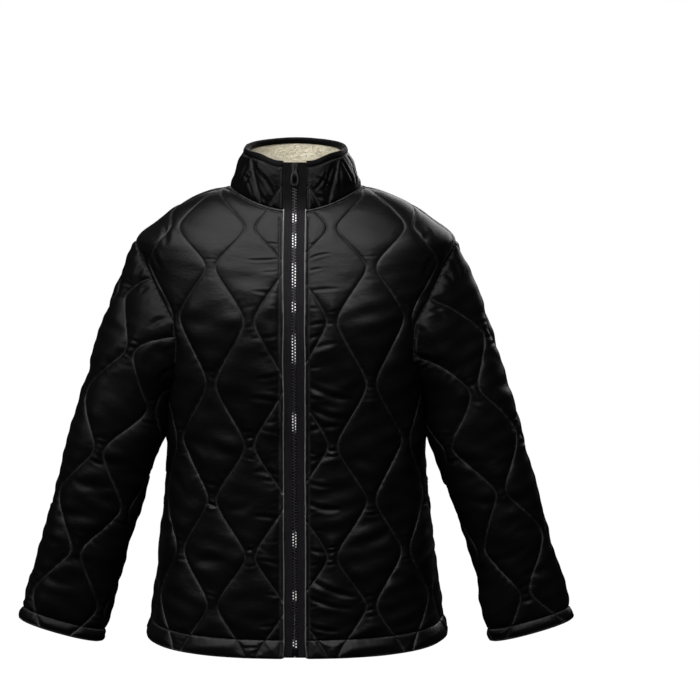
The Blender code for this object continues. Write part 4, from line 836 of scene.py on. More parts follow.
def paddingRise(places, apart, lineApart, look):
    # how far the outer face stands over the form
    seed = look["seed"]
    reach = 1 - np.clip(apart / padding["reach"], 0.0, 1.0)
    uneven = 1 + padding["uneven"] * waves(places, seed + 1, padding["unevenLength"])
    calm = np.ones(len(places))
    if "calmAbove" in look:
        calm -= look["calm"] * eased((places[:, 1] - look["calmAbove"]) / padding["calmReach"])
    rise = padding["shoulder"] * (1 - np.exp(-apart / padding["shoulderReach"])) * (0.5 + 0.5 * calm)
    rise += padding["soft"] * (1 - np.exp(-apart / padding["softReach"])) * uneven * calm
    rise += padding["crown"] * (1 - reach ** padding["crownPower"]) * uneven * look.get("crown", 1.0) * calm
    rise -= padding["groove"] * np.exp(-((lineApart / padding["grooveWidth"]) ** 2))
    inCell = np.clip(apart / padding["cellReach"], 0.0, 1.0)
    folds = waves(places, seed + 5, padding["foldLength"], (2.1, 1.0))
    rise += look.get("cellFold", 0.0010) * calm * inCell * folds
    rise += look.get("drift", 0.0009) * inCell * waves(places, seed + 6, padding["driftLength"])
    return rise, calm


# the hem's band leans back most in the middle of the front
hemLean = {"least": 0.72, "more": 0.75, "middle": -0.010, "width": 0.080}


def bandLean(x):
    apart = (x - hemLean["middle"]) / hemLean["width"]
    return hemLean["least"] + hemLean["more"] * np.exp(-(apart**2))


def besideFold(outline, rim, look):
    # one more row of places just inside a folded edge that carries a painted highlight
    worn = (rim.worn > 0.6) & (np.roll(rim.worn, 1) > 0.6) & (np.roll(rim.worn, -1) > 0.6)
    folded = np.flatnonzero(worn)
    if len(folded) == 0:
        return np.empty((0, 2))
    aside = np.roll(outline, -1, axis=0) - np.roll(outline, 1, axis=0)
    aside = look["foldRow"] * (unit(aside[folded])[:, ::-1] * (-1.0, 1.0))
    within = outline[folded] + aside
    return np.where(insideOutline(within, outline)[:, None], within, outline[folded] - aside)


def makePiece(name, rim, surface, lines, look, material="shell_cloth", node=None):
    # a closed thin shell: quilted outer face, plain inner face, rolled edge
    rim.close()
    outline = rim.flat
    count = len(outline)
    runs = insideRuns(lines, outline, look.get("lineClearance", 0.0015))
    linePlaces, flanks, samples, sampleRun, sampleAt = [], [], [], [], []
    for number, run in enumerate(runs):
        places = readPath(run, evenPlaces(pathLength(run)[-1], cloth["edgeStep"]))
        way = pathTangents(places)[:, ::-1] * (1, -1)
        linePlaces.append(places)
        flanks += [places + side * off * way for off in cloth["flanks"] for side in (-1, 1)]
        samples.append(run)
        sampleRun += [number] * len(run)
        sampleAt += list(pathLength(run))
    samplePoints = surface(np.vstack(samples))[0]
    edgePoints = surface(readPath(np.vstack([outline, outline[:1]]), np.linspace(0, 1, 3 * count)))[0]

    def clear(flat, clearance, edgeClearance):
        flat = flat[insideOutline(flat, outline)]
        points = surface(flat)[0]
        return flat[(nearest(samplePoints, points)[0] > clearance)
                    & (nearest(edgePoints, points)[0] > edgeClearance)]

    flanks = clear(np.vstack(flanks), cloth["flankClear"], cloth["flankEdgeClear"])
    beside = besideFold(outline, rim, look)
    if len(beside):
        beside = beside[nearest(samplePoints, surface(beside)[0])[0] > cloth["foldClear"]]
        flanks = np.vstack([flanks, beside])
    grid = hexGrid(outline, look.get("step", cloth["step"]))
    if "denseUntil" in look:
        fine = hexGrid(outline, look["denseStep"])
        grid = np.vstack([grid[grid[:, 0] > look["denseUntil"]], fine[fine[:, 0] < look["denseUntil"]]])
    grid = clear(grid, cloth["lineClear"], cloth["edgeClear"])
    flat = np.vstack([outline] + linePlaces + [flanks, grid])
    edges = [(i, (i + 1) % count) for i in range(count)]
    first = count
    for places in linePlaces:
        edges += [(first + i, first + i + 1) for i in range(len(places) - 1)]
        first += len(places)
    places, triangles, origins = triangulate(flat, edges, outline)
    points, normals = surface(places)

    lineApart, lineIndex = nearest(samplePoints, points)
    edgeApart, edgeIndex = nearest(edgePoints, points)
    apart = np.minimum(lineApart, edgeApart)
    pressed = np.clip(np.linalg.norm(np.abs(points) * (1, 0, 1) + points * (0, 1, 0) - underarmPoint, axis=1)
                      / padding["underarmReach"], 0.0, 1.0)
    puff, calm = paddingRise(places, apart, lineApart, look)
    if "neckStitch" in look:
        # the neck seam's top stitching, the last line, is drawn tight
        tight = np.array(sampleRun)[lineIndex] == len(runs) - 1
        puff -= tight * puckers["neckGroove"] * np.exp(-((lineApart / puckers["neckGrooveWidth"]) ** 2))

    # puckers: short folds that cross the stitched lines, each side by itself, strong only in places
    seed = look["seed"]
    at = np.array(sampleAt)[lineIndex] + 0.37 * np.array(sampleRun)[lineIndex]
    tangent = np.gradient(np.vstack(samples), axis=0)[lineIndex]
    beside = places - np.vstack(samples)[lineIndex]
    side = np.sign(tangent[:, 0] * beside[:, 1] - tangent[:, 1] * beside[:, 0])
    fold = np.where(side > 0, along(at, seed + 2, puckers["length"]), along(at, seed + 3, puckers["length"]))
    strong = np.clip(0.15 + 1.1 * along(at, seed + 4, puckers["strengthLength"]), 0.0, 1.6)
    near = np.exp(-lineApart / puckers["reach"]) * (1 - np.exp(-lineApart / puckers["start"]))
    puff += look.get("pucker", 0.0009) * fold * strong * near * calm
    fade = np.clip(edgeApart / puckers["edgeFade"], 0.0, 1.0)
    for crease in look["creases"]:
        puff += creaseShape(places, crease) * fade * np.clip(lineApart / puckers["lineFade"], 0.25, 1.0)
    least = padding["underarmLeast"]
    rise = padding["stitch"] + puff * (least + (1 - least) * pressed)
    if "bandFlare" in look:
        # the turned hem stands out a little, so its band leans back
        low, tall, flare = look["bandFlare"]
        rise = rise + flare * bandLean(points[:, 0]) * np.clip(1 - (places[:, 1] - low) / tall, 0.0, 1.0)
    if "plainAbove" in look:
        rise = np.where(places[:, 1] > look["plainAbove"], padding["stitch"], rise)
    lift = np.interp(edgeIndex / 3.0, np.arange(count), rim.lift)
    lift *= np.exp(-(edgeApart / cloth["liftReach"]) ** 2)
    outer = points + normals * (rise + lift)[:, None]
    # painted highlight: the cloth is coloured paler along the lines, most on the flanks that face up to the
    # light
    below = np.clip(0.5 - beside[:, 1] / (2 * np.linalg.norm(beside, axis=1) + 1e-6), 0.0, 1.0)
    lineSheen = sheenLook["least"] + sheenLook["facingUp"] * below
    lineSheen *= np.exp(-(((lineApart - sheenLook["fromLine"]) / sheenLook["width"]) ** 2))
    lineSheen *= 0.65 + 0.45 * along(at, seed + 7, sheenLook["length"])
    edgeSheen = np.interp(edgeIndex / 3.0, np.arange(count), rim.worn)
    edgeSheen *= np.exp(-(edgeApart / sheenLook["edgeWidth"]) ** 2)
    worn = np.maximum(np.clip(lineSheen, 0, 1) * sheenLook["level"], edgeSheen)

    gap = form["seamGap"] / 2
    ribUnit = unit(rim.rib)
    rimOuter = rim.point + rim.rib * rim.rise[:, None] - rim.out * gap + ribUnit * rim.lift[:, None]
    rimInner = rim.point - rim.rib * form["inside"] - rim.out * gap + ribUnit * rim.lift[:, None]
    loop = np.vstack([rim.point[-1:], rim.point, rim.point[:1]])
    outward = np.cross(unit(loop[2:] - loop[:-2]), ribUnit)
    outward *= -np.sign(outward[np.argmin(rim.point[:, 2]), 2])
    rimMiddle = (rimOuter + rimInner) / 2 + outward * rim.roll[:, None]

    insidePlaces = hexGrid(outline, cloth["insideStep"])
    insidePoints = surface(insidePlaces)[0]
    insidePlaces = insidePlaces[nearest(edgePoints, insidePoints)[0] > cloth["insideClear"]]
    inFlat, inTriangles, inOrigins = triangulate(np.vstack([outline, insidePlaces]),
                                                 [(i, (i + 1) % count) for i in range(count)], outline)
    inPoints, inNormals = surface(inFlat)
    inner = inPoints - inNormals * form["inside"]

    def rimIndex(origin):
        return next((index for index in origin if index < count), None)

    outerAt, innerAt = {}, {}
    for i, origin in enumerate(origins):
        index = rimIndex(origin)
        if index is not None:
            outer[i] = rimOuter[index]
            worn[i] = sheenLook["atEdge"] * rim.worn[index]
            outerAt[index] = i
    for i, origin in enumerate(inOrigins):
        index = rimIndex(origin)
        if index is not None:
            inner[i] = rimInner[index]
            innerAt[index] = len(outer) + i
    middleAt = len(outer) + len(inner)
    onSleeve = name.startswith("sleeve")
    outer, inner, rimMiddle = (settled(part, onSleeve) for part in (outer, inner, rimMiddle))
    faces = [tuple(face) for face in triangles]
    faces += [tuple(len(outer) + i for i in face[::-1]) for face in inTriangles]
    for i in range(count):
        j = (i + 1) % count
        faces.append((outerAt[j], outerAt[i], middleAt + i, middleAt + j))
        faces.append((middleAt + j, middleAt + i, innerAt[i], innerAt[j]))
    made = addMesh(name, np.vstack([outer, inner, rimMiddle]), faces, material,
                   np.vstack([places, inFlat, outline]),
                   np.concatenate([worn, np.zeros(len(inner)), rim.worn]))
    stitched = []
    originAt = {o: i for i, origin in enumerate(origins) for o in origin if count <= o}
    first = count
    for laid in linePlaces:
        index = [originAt[first + i] for i in range(len(laid)) if first + i in originAt]
        stitched.append((outer[index], normals[index]))
        first += len(laid)
    dress(made, "root", node)
    print(name, len(made.data.polygons), "faces")
    return stitched


def mirrored(points):
    return points * (-1.0, 1.0, 1.0)


def mirroredSurface(surface):
    def shown(flat):
        points, normals = surface(flat)
        return mirrored(points), mirrored(normals)
    return shown


def ridgePoints(height):
    return np.column_stack([bodyTable.at(1, height), np.zeros(len(height)), height])


def flatOf(side, points, sign=1.0):
    arc = sectionArc(side, np.abs(points[:, 0]), points[:, 2])
    return np.column_stack([sign * arc, clothLevel(side, points[:, 2])])


def addRidge(rim, side, height, flip, sign=1.0):
    points = ridgePoints(height)
    shown = mirrored(points) if flip else points
    rim.add(flatOf(side, points, sign), shown, bodyNormal(shown), (0.0, -float(side), 0.0), padding["seam"])


def addArmhole(rim, side, places, flip, sign=1.0):
    points, rib = ringRead(armhole, "point", places), ringRead(armhole, "rib", places)
    apart = unit(ringRead(armhole, "apart", places))
    flat = flatOf(side, points, sign)
    if flip:
        points, rib, apart = mirrored(points), mirrored(rib), mirrored(apart)
    rim.add(flat, points, rib, apart, padding["seam"])


def sideHeights():
    places = evenPlaces(form["underarm"] - form["hem"], cloth["edgeStep"])
    return form["hem"] + (form["underarm"] - form["hem"]) * places


def shoulderHeights():
    path = ridgePoints(np.linspace(form["shoulder"], form["neckSide"], 60))
    heights = readPath(path, evenPlaces(pathLength(path)[-1], cloth["edgeStep"]))[:, 2]
    heights[-1] = ringRead(neckline, "point", [neckline["side"]])[0, 2]
    return heights


def halfArc(side, height):
    return float(sectionArc(side, bodyTable.at(1, height), height)[0])


def insetLine(flat, distance):
    # a line that runs a fixed way inside an edge, to the right of its direction
    way = pathTangents(flat)
    return flat + distance * np.column_stack([way[:, 1], -way[:, 0]])


def bodyLines(side, firstColumn, low, high, hemStitch):
    lines = quiltLines(firstColumn, form["bodyRow"], 0.0, clothLevel(side, 0.0),
                       clothLevel(side, form["top"]), low, high)
    band = clothLevel(side, form["hem"] + hemStitch)
    return lines + [np.array([(low, band), (high, band)])]


def hemRise(arc, seed):
    return padding["hem"] + padding["hemUneven"] * along(arc, seed, 0.06)


def makeFront(name, flip, firstColumn, look):
    rim = Rim()
    zero = (0.0, 0.0, 0.0)
    edge = form["frontEdge"]
    hemArc = halfArc(front, form["hem"]) - edge
    arcs = edge + hemArc * evenPlaces(hemArc, cloth["edgeStep"])
    hem = sectionPoint(front, arcs, form["hem"])
    shown = mirrored(hem) if flip else hem
    rim.add(flatOf(front, hem), shown, bodyNormal(shown), zero, hemRise(arcs, look["seed"]), look["hemRoll"],
            worn=0.35)
    addRidge(rim, front, sideHeights(), flip)
    addArmhole(rim, front, armholePlaces(front), flip)
    addRidge(rim, front, shoulderHeights(), flip)
    places = neckPlaces(0.0, neckline["side"])[::-1]
    points, rib = ringRead(neckline, "point", places), ringRead(neckline, "rib", places)
    apart = unit(ringRead(neckline, "apart", places))
    neckFlat = flatOf(front, points)
    if not flip:
        points, rib, apart = mirrored(points), mirrored(rib), mirrored(apart)
    rim.add(neckFlat, points, rib, apart, padding["seam"], worn=0.3)
    top = points[-1][2]
    height = np.linspace(top, form["hem"], int((top - form["hem"]) / cloth["edgeStep"]))
    arcs = sectionArc(front, np.full(len(height), edge), height)
    # the folded edge lies over the tape, and its line is not quite straight
    reach = look["lap"] + look["lapUneven"] * along(height, look["seed"] + 8, 0.085)
    reach *= np.clip((height - form["hem"]) / 0.02, 0.3, 1.0)
    foldFlat = np.column_stack([arcs - reach, clothLevel(front, height)])
    points = sectionPoint(front, arcs - reach, height)
    shown = mirrored(points) if flip else points
    rim.add(foldFlat, shown, bodyNormal(shown), zero, look["foldRise"], look["foldRoll"], look["foldLift"],
            look["foldSheen"])

    surface = bodySurface(front)
    if flip:
        surface = mirroredSurface(surface)
    lines = bodyLines(front, firstColumn, 0.0, halfArc(front, form["shoulder"]), look["hemStitch"])
    levels = clothLevel(front, np.linspace(form["hem"] + 0.002, look["foldStitchTop"], 300))
    arcs = sectionArc(front, np.full(300, edge + look["foldStitch"]), heightOf(front, levels))
    lines.append(np.column_stack([arcs, levels]))
    lines.append(insetLine(neckFlat[::-1], look["neckStitch"]))
    return makePiece(name, rim, surface, lines, look, node=name)


frontLook = {
    "hemRoll": 0.0016, "foldRise": 0.0010, "foldRoll": 0.0008, "foldStitch": 0.0032, "foldStitchTop": 0.628,
    "foldRow": 0.0007, "foldLift": 0.0019, "lap": 0.0018, "lapUneven": 0.0005, "hemStitch": 0.025,
    "neckStitch": 0.0048, "lineClearance": 0.0012,
    "denseUntil": 0.062, "denseStep": 0.0019, "calmAbove": 0.40, "calm": 0.66,
    "bandFlare": (float(clothLevel(front, form["hem"])), 0.025, 0.0048),
}


def zipPuckers(rows):
    # folds that run from the zip into the front: height, length, slope, bow, width and depth, in mm
    made = []
    for height, length, slope, bow, width, depth in rows:
        level = float(clothLevel(front, height * mm)) / mm
        made.append((16, level, 19 + length, level + slope, bow, width, depth))
    return made


rightPuckers = zipPuckers((
    (38, 20, 4, 1, 2.4, 0.5), (61, 32, -5, -2, 3.0, 0.9), (97, 24, 6, 2, 2.6, 0.6),
    (118, 12, -3, 0, 2.0, 0.4), (143, 34, 9, 2, 3.2, 0.9), (181, 18, -4, -1, 2.4, 0.5),
    (207, 38, 7, 2, 3.2, 1.0), (234, 14, -2, 0, 2.2, 0.5), (262, 28, 3, 1, 2.6, 0.6),
    (271, 40, 6, 2, 3.4, 1.0), (306, 16, -3, 0, 2.2, 0.4), (331, 30, 6, 1, 2.8, 0.8),
    (352, 20, -4, -1, 2.4, 0.6), (374, 44, 8, 2, 3.4, 1.1), (391, 18, 2, 0, 2.2, 0.5),
    (416, 34, -6, -1, 2.8, 0.8), (447, 24, 3, 1, 2.4, 0.5), (470, 42, -4, -1, 2.6, 0.7),
    (508, 18, 2, 1, 2.0, 0.4), (526, 40, 4, 0, 2.4, 0.6), (557, 26, -3, 0, 2.0, 0.5),
    (574, 52, -3, -2, 2.4, 0.7), (592, 30, 4, 1, 2.2, 0.6),
))
leftPuckers = zipPuckers((
    (38, 26, 6, 2, 2.8, 0.8), (60, 44, -12, -3, 3.4, 1.3), (84, 16, 3, 0, 2.0, 0.5),
    (100, 62, -22, -4, 3.8, 1.6), (128, 74, -36, -6, 4.0, 1.9), (141, 18, 5, 1, 2.2, 0.6),
    (168, 40, -8, -2, 3.2, 1.2), (190, 22, 4, 1, 2.4, 0.7), (216, 14, 5, 1, 2.2, 0.6),
    (233, 46, -10, -4, 3.8, 1.7), (262, 34, -6, -2, 3.0, 1.0), (290, 50, 9, 3, 3.4, 1.4),
    (304, 18, -3, 0, 2.2, 0.7), (333, 44, 8, 3, 3.2, 1.3), (352, 22, -5, -1, 2.4, 0.8),
    (371, 58, -18, -4, 3.8, 1.6), (384, 26, -3, -1, 2.6, 0.9), (403, 64, -22, -5, 4.0, 1.8),
    (424, 20, 2, 0, 2.2, 0.7), (446, 40, 12, 2, 3.0, 1.1), (463, 24, 8, 1, 2.4, 0.8),
    (482, 34, 4, 2, 2.6, 0.9), (508, 18, -2, 0, 2.0, 0.5), (530, 46, 3, 1, 2.4, 0.7),
    (556, 22, 6, 1, 2.2, 0.6), (571, 34, 14, 3, 2.4, 0.8), (590, 20, 9, 1, 2.2, 0.7),
))
# drags over the body, from the armhole, the side and the hem: arc and cloth level of both ends
rightDrags = (
    (212, 405, 168, 372, 6, 7, 1.5), (205, 448, 178, 420, 4, 5, 1.2), (232, 330, 176, 318, -6, 8, 1.6),
    (238, 262, 190, 280, 5, 7, 1.3), (226, 190, 162, 168, -8, 8, 1.4), (240, 96, 190, 120, 5, 7, 1.2),
    (206, 520, 196, 482, 3, 5, 1.3), (196, 575, 184, 530, -3, 5, 1.1), (120, 250, 84, 232, 4, 7, 1.0),
    (150, 60, 96, 74, -5, 7, 1.1), (92, 150, 58, 162, 3, 6, 0.9), (170, 235, 134, 222, 3, 6, 0.9),
)
leftDrags = (
    (214, 398, 160, 380, -6, 8, 1.7), (206, 452, 172, 436, 4, 6, 1.3), (234, 318, 182, 332, 6, 8, 1.6),
    (240, 250, 186, 236, -5, 7, 1.4), (230, 176, 170, 190, 7, 8, 1.4), (242, 80, 186, 62, -5, 8, 1.3),
    (206, 512, 190, 470, -3, 5, 1.4), (198, 566, 182, 540, 3, 5, 1.1), (112, 210, 78, 226, -4, 7, 1.1),
    (140, 118, 98, 104, 4, 7, 1.2), (96, 330, 66, 318, 3, 6, 1.0), (164, 40, 120, 52, 4, 7, 1.1),
)


def bodyPinches(seed, side, firstColumn, left, right, strength, top=0.560, calmFrom=0.420):
    return pinchFolds(seed, firstColumn, form["bodyRow"], 0.0, clothLevel(side, form["hem"]),
                      clothLevel(side, top), left, right, strength, clothLevel(side, calmFrom))


# each front's folded edge carries a painted highlight, stronger on the right front
sewnRight = makeFront("front_right", True, 0.0065, {
    **frontLook, "seed": 11, "foldSheen": 0.95,
    "creases": [*rightPuckers, *rightDrags, *bodyPinches(101, front, 0.0065, 0.03, 0.24, 1.4)]})
sewnLeft = makeFront("front_left", False, -0.003, {
    **frontLook, "seed": 23, "foldSheen": 0.62,
    "creases": [*leftPuckers, *leftDrags, *bodyPinches(103, front, -0.003, 0.03, 0.24, 1.4)]})

backDrags = (
    (212, 420, 150, 396, 6, 8, 1.6), (-210, 430, -156, 398, -6, 8, 1.6), (232, 330, 168, 344, -5, 8, 1.5),
    (-230, 322, -172, 310, 5, 8, 1.4), (205, 500, 150, 470, 5, 7, 1.4), (-206, 492, -148, 476, -5, 7, 1.3),
    (238, 200, 170, 184, -6, 8, 1.5), (-238, 212, -176, 228, 6, 8, 1.4), (60, 560, -44, 556, 5, 7, 1.1),
    (40, 300, -36, 292, -4, 8, 0.9), (120, 110, 60, 124, 5, 8, 1.1), (-112, 92, -54, 80, -5, 8, 1.1),
    (90, 420, 30, 428, -4, 7, 0.8), (-96, 250, -40, 262, 4, 7, 0.9),
)


def makeBack(name, look):
    rim = Rim()
    half = halfArc(back, form["hem"])
    arc = -half + 2 * half * evenPlaces(2 * half, cloth["edgeStep"])
    hem = sectionPoint(back, arc, form["hem"])
    flat = np.column_stack([arc, np.full(len(arc), clothLevel(back, form["hem"]))])
    rim.add(flat, hem, bodyNormal(hem), (0.0, 0.0, 0.0), hemRise(arc, look["seed"]), look["hemRoll"],
            worn=0.35)
    addRidge(rim, back, sideHeights(), False)
    addArmhole(rim, back, armholePlaces(back)[::-1], False)
    addRidge(rim, back, shoulderHeights(), False)
    places = neckPlaces(neckline["side"], 1 - neckline["side"])[::-1]
    points = ringRead(neckline, "point", places)
    arcs = sectionArc(back, np.abs(points[:, 0]), points[:, 2]) * np.sign(points[:, 0])
    neckFlat = np.column_stack([arcs, clothLevel(back, points[:, 2])])
    rim.add(neckFlat, points, ringRead(neckline, "rib", places), unit(ringRead(neckline, "apart", places)),
            padding["seam"], worn=0.3)
    addRidge(rim, back, shoulderHeights()[::-1], True, -1.0)
    addArmhole(rim, back, armholePlaces(back), True, -1.0)
    addRidge(rim, back, sideHeights()[::-1], True, -1.0)
    widest = halfArc(back, form["shoulder"])
    lines = bodyLines(back, 0.0, -widest, widest, look["hemStitch"])
    lines.append(insetLine(neckFlat[::-1], look["neckStitch"]))
    return makePiece(name, rim, bodySurface(back), lines, look, node=name)


sewnBack = makeBack("back", {
    "hemRoll": 0.0016, "hemStitch": 0.025, "neckStitch": 0.0048, "seed": 37, "step": 0.0032,
    "calmAbove": 0.48, "calm": 0.5, "lineClearance": 0.0012,
    "bandFlare": (float(clothLevel(back, form["hem"])), 0.025, 0.0048),
    "creases": [*backDrags, *bodyPinches(107, back, 0.0, -0.24, 0.24, 1.3)]})


# the sleeves
ringAngles = np.linspace(0, 2 * math.pi, 361) - math.radians(sleeve["underarmTurn"])


def sleeveRing(fraction, distance):
    power = 2.0 / sleeve["power"]
    width, depth = sleeveTable.at(1, distance), sleeveTable.at(2, distance)
    cosine, sine = np.cos(ringAngles), np.sin(ringAngles)
    points, girths = np.empty((len(fraction), 3)), np.empty(len(fraction))
    for part in pieceByPiece(len(fraction), 4000):
        outward = -width[part, None] * np.sign(cosine) * np.abs(cosine) ** power
        forward = depth[part, None] * np.sign(sine) * np.abs(sine) ** power
        around = girthSteps(outward, forward)
        rows, slot, share = girthPlace(around, fraction[part] * around[:, -1])
        out = outward[rows, slot] * (1 - share) + outward[rows, slot + 1] * share
        ahead = forward[rows, slot] * (1 - share) + forward[rows, slot + 1] * share
        points[part] = (sleeveTop + distance[part, None] * sleeveAxis + out[:, None] * sleeveOutward
                        + ahead[:, None] * sleeveForward)
        girths[part] = around[:, -1]
    return points, girths


bicepsGirth = float(sleeveRing(np.zeros(1), np.zeros(1))[1][0])
searched = np.linspace(0.3, 0.8, 1001)
outerFraction = float(searched[np.argmax(sleeveRing(searched, np.zeros(len(searched)))[0] @ sleeveOutward)])


def capPoint(fraction, share):
    low, _ = sleeveRing(fraction, np.zeros(len(fraction)))
    around = np.interp(fraction, (0.0, outerFraction, 1.0), (0.0, 0.5, 1.0))
    high = ringRead(armhole, "point", around)
    leaving = unit(ringRead(armhole, "leaving", around))
    reach = np.linalg.norm(high - low, axis=1)[:, None]
    lowHandle = low - sleeveAxis * reach * sleeve["lowHandle"]
    highHandle = high + leaving * reach * sleeve["highHandle"]
    u = share[:, None]
    return ((1 - u) ** 3 * low + 3 * u * (1 - u) ** 2 * lowHandle
            + 3 * u**2 * (1 - u) * highHandle + u**3 * high)


capFractions = np.linspace(0, 1, 401)
capSteps = [capPoint(capFractions, np.full(401, share)) for share in np.linspace(0, 1, 25)]
capLengths = sum(np.linalg.norm(b - a, axis=1) for a, b in zip(capSteps[:-1], capSteps[1:]))


def capLength(fraction):
    return np.interp(fraction, capFractions, capLengths)


def sleeveGirth(level):
    return sleeveRing(np.zeros(len(level)), np.maximum(-level, 0.0))[1]


def sleevePoint(fraction, level):
    fraction = np.clip(fraction, 0.0, 1.0)
    straight, _ = sleeveRing(fraction, np.maximum(-level, 0.0))
    cap = capPoint(fraction, np.clip(level / capLength(fraction), 0.0, 1.0))
    return np.where((level > 0)[:, None], cap, straight)


def sleeveSurface(flat):
    # flat places: distance around from the outer line, and height over the biceps line
    level = flat[:, 1]
    fraction = flat[:, 0] / sleeveGirth(level) + outerFraction
    step = 0.0015
    around = (sleevePoint(np.clip(fraction + step, 0, 1), level)
              - sleevePoint(np.clip(fraction - step, 0, 1), level))
    upward = sleevePoint(fraction, level + step) - sleevePoint(fraction, level - step)
    return sleevePoint(fraction, level), unit(np.cross(around, upward))


def capFlat(around):
    fraction = np.interp(around, (0.0, 0.5, 1.0), (0.0, outerFraction, 1.0))
    return np.column_stack([(fraction - outerFraction) * bicepsGirth, capLength(fraction)])


def capPuckers(rows):
    # short folds that run down from the armhole seam: place around it, length, lean, width, depth
    made = []
    for around, length, lean, width, depth in rows:
        x, y = capFlat(np.array([around]))[0] / mm
        made.append((x, y + 1, x + lean, y - length, 0.08 * length, width, 1.25 * depth))
    return made


def makeSleeve(name, flip, firstColumn, firstRow, look):
    rim = Rim()
    girth = float(sleeveGirth(np.array([-sleeveLength]))[0])
    places = evenPlaces(girth, cloth["edgeStep"])
    flat = np.column_stack([(places - outerFraction) * girth, np.full(len(places), -sleeveLength)])
    points, normals = sleeveSurface(flat)
    rim.add(flat, points, normals, (0.0, 0.0, 0.0), 0.7 * padding["hem"], look["hemRoll"], worn=0.35)
    underarm = float(capLength(0.0))
    level = -sleeveLength + (sleeveLength + underarm) * evenPlaces(sleeveLength + underarm, cloth["edgeStep"])
    girths = sleeveGirth(level)
    backFlat = np.column_stack([(1 - outerFraction) * girths, level])
    frontFlat = np.column_stack([-outerFraction * girths, level])
    points = sleevePoint(np.zeros(len(level)), level)
    normals = unit(sleeveSurface(backFlat)[1] + sleeveSurface(frontFlat)[1])
    apart = unit(np.cross(normals, pathTangents(points)))
    apart *= np.sign(apart @ sleeveForward)[:, None]
    rim.add(backFlat, points, normals, apart, padding["seam"])
    around = np.concatenate([armholePlaces(front), armholePlaces(back)[1:]])[::-1]
    rim.add(capFlat(around), ringRead(armhole, "point", around), ringRead(armhole, "rib", around),
            -unit(ringRead(armhole, "apart", around)), padding["seam"], worn=0.15)
    rim.add(frontFlat[::-1], points[::-1], normals[::-1], -apart[::-1], padding["seam"])
    top = float(capLength(outerFraction)) + quilt["pitch"]
    left = -outerFraction * bicepsGirth
    right = left + bicepsGirth
    lines = quiltLines(firstColumn, look["row"], firstRow, -sleeveLength, top, left, right)
    band = -sleeveLength + look["cuffStitch"]
    lines.append(np.array([(left, band), (right, band)]))
    look["creases"] += pinchFolds(look["seed"] + 90, firstColumn, look["row"], firstRow, -sleeveLength,
                                  look["pinchTop"], left, right, look["pinchStrength"])
    surface = sleeveSurface
    if flip:
        surface = mirroredSurface(surface)
        rim.rows = [[row[0], *(mirrored(row[k]) for k in (1, 2, 3)), *row[4:]] for row in rim.rows]
    return makePiece(name, rim, surface, lines, look, "sleeve_cloth", name)


sleeveLook = {"hemRoll": 0.0014, "cuffStitch": 0.017, "row": 0.0745, "step": 0.0028, "pucker": 0.0012,
              "lineClearance": 0.0012, "pinchTop": 0.20, "pinchStrength": 1.4,
              "bandFlare": (-sleeveLength, 0.017, 0.0032)}
rightCap = capPuckers((
    (0.10, 18, -4, 3.0, 1.0), (0.17, 30, 3, 3.6, 1.4), (0.22, 16, -2, 2.6, 0.9), (0.28, 26, 5, 3.2, 1.3),
    (0.33, 14, -2, 2.4, 0.8), (0.37, 22, 2, 2.8, 1.1), (0.42, 34, -6, 3.4, 1.4), (0.46, 16, 3, 2.6, 0.9),
    (0.52, 26, 4, 3.0, 1.2), (0.58, 18, -3, 2.8, 0.9), (0.66, 30, 5, 3.4, 1.3), (0.74, 20, -4, 3.0, 1.0),
    (0.82, 28, 4, 3.4, 1.2), (0.91, 18, -3, 3.0, 1.0)))
leftCap = capPuckers((
    (0.08, 24, 4, 3.4, 1.1), (0.15, 16, -3, 2.6, 0.9), (0.20, 32, 5, 3.6, 1.5), (0.26, 18, -2, 2.6, 0.9),
    (0.31, 28, 4, 3.2, 1.3), (0.36, 14, -3, 2.4, 0.8), (0.40, 24, 2, 3.0, 1.2), (0.44, 38, -5, 3.6, 1.5),
    (0.49, 18, 2, 2.6, 0.9), (0.55, 22, -4, 2.8, 1.0), (0.62, 32, 5, 3.4, 1.3), (0.71, 18, -3, 3.0, 0.9),
    (0.80, 26, 4, 3.2, 1.2), (0.93, 20, -3, 3.0, 1.0)))
# folds around the elbow and over the forearm: distance around and level of both ends
rightFolds = (
    (-126, -62, -60, -84, 6, 7, 1.8), (-112, -96, -48, -104, -5, 6, 1.5), (-130, -128, -72, -118, 5, 7, 1.6),
    (-96, -150, -30, -166, 6, 7, 1.5), (-60, -196, -8, -188, -4, 6, 1.2), (-104, -214, -52, -226, 5, 6, 1.3),
    (-84, -252, -30, -244, -4, 6, 1.1), (60, -70, 118, -52, 6, 8, 1.5), (70, -120, 126, -132, -5, 7, 1.4),
    (52, -176, 112, -168, 5, 7, 1.2), (64, -232, 108, -246, -4, 6, 1.1), (-40, 20, 4, 8, 4, 7, 1.1),
    (-70, 66, -18, 58, 5, 7, 1.2), (24, 92, 66, 76, -4, 7, 1.1))
leftFolds = (
    (-132, -50, -70, -66, -5, 7, 1.7), (-118, -84, -52, -78, 6, 7, 1.6), (-124, -112, -66, -128, -5, 6, 1.5),
    (-98, -142, -38, -138, 5, 7, 1.4), (-76, -176, -18, -190, 6, 7, 1.4), (-110, -206, -58, -200, -4, 6, 1.2),
    (-78, -240, -24, -252, 5, 6, 1.2), (58, -58, 120, -70, -6, 8, 1.5), (68, -110, 124, -98, 5, 7, 1.3),
    (56, -164, 108, -178, -5, 7, 1.3), (60, -222, 110, -214, 4, 6, 1.1), (-44, 32, 6, 24, -4, 7, 1.2),
    (-66, 80, -20, 66, 4, 7, 1.2), (20, 104, 60, 96, -4, 7, 1.0))
sewnSleeveRight = makeSleeve("sleeve_right", True, -0.077, -0.052, {
    **sleeveLook, "seed": 51, "creases": [*rightCap, *rightFolds]})
sewnSleeveLeft = makeSleeve("sleeve_left", False, -0.077, -0.113, {
    **sleeveLook, "seed": 67, "creases": [*leftCap, *leftFolds]})
print("body and sleeves made")


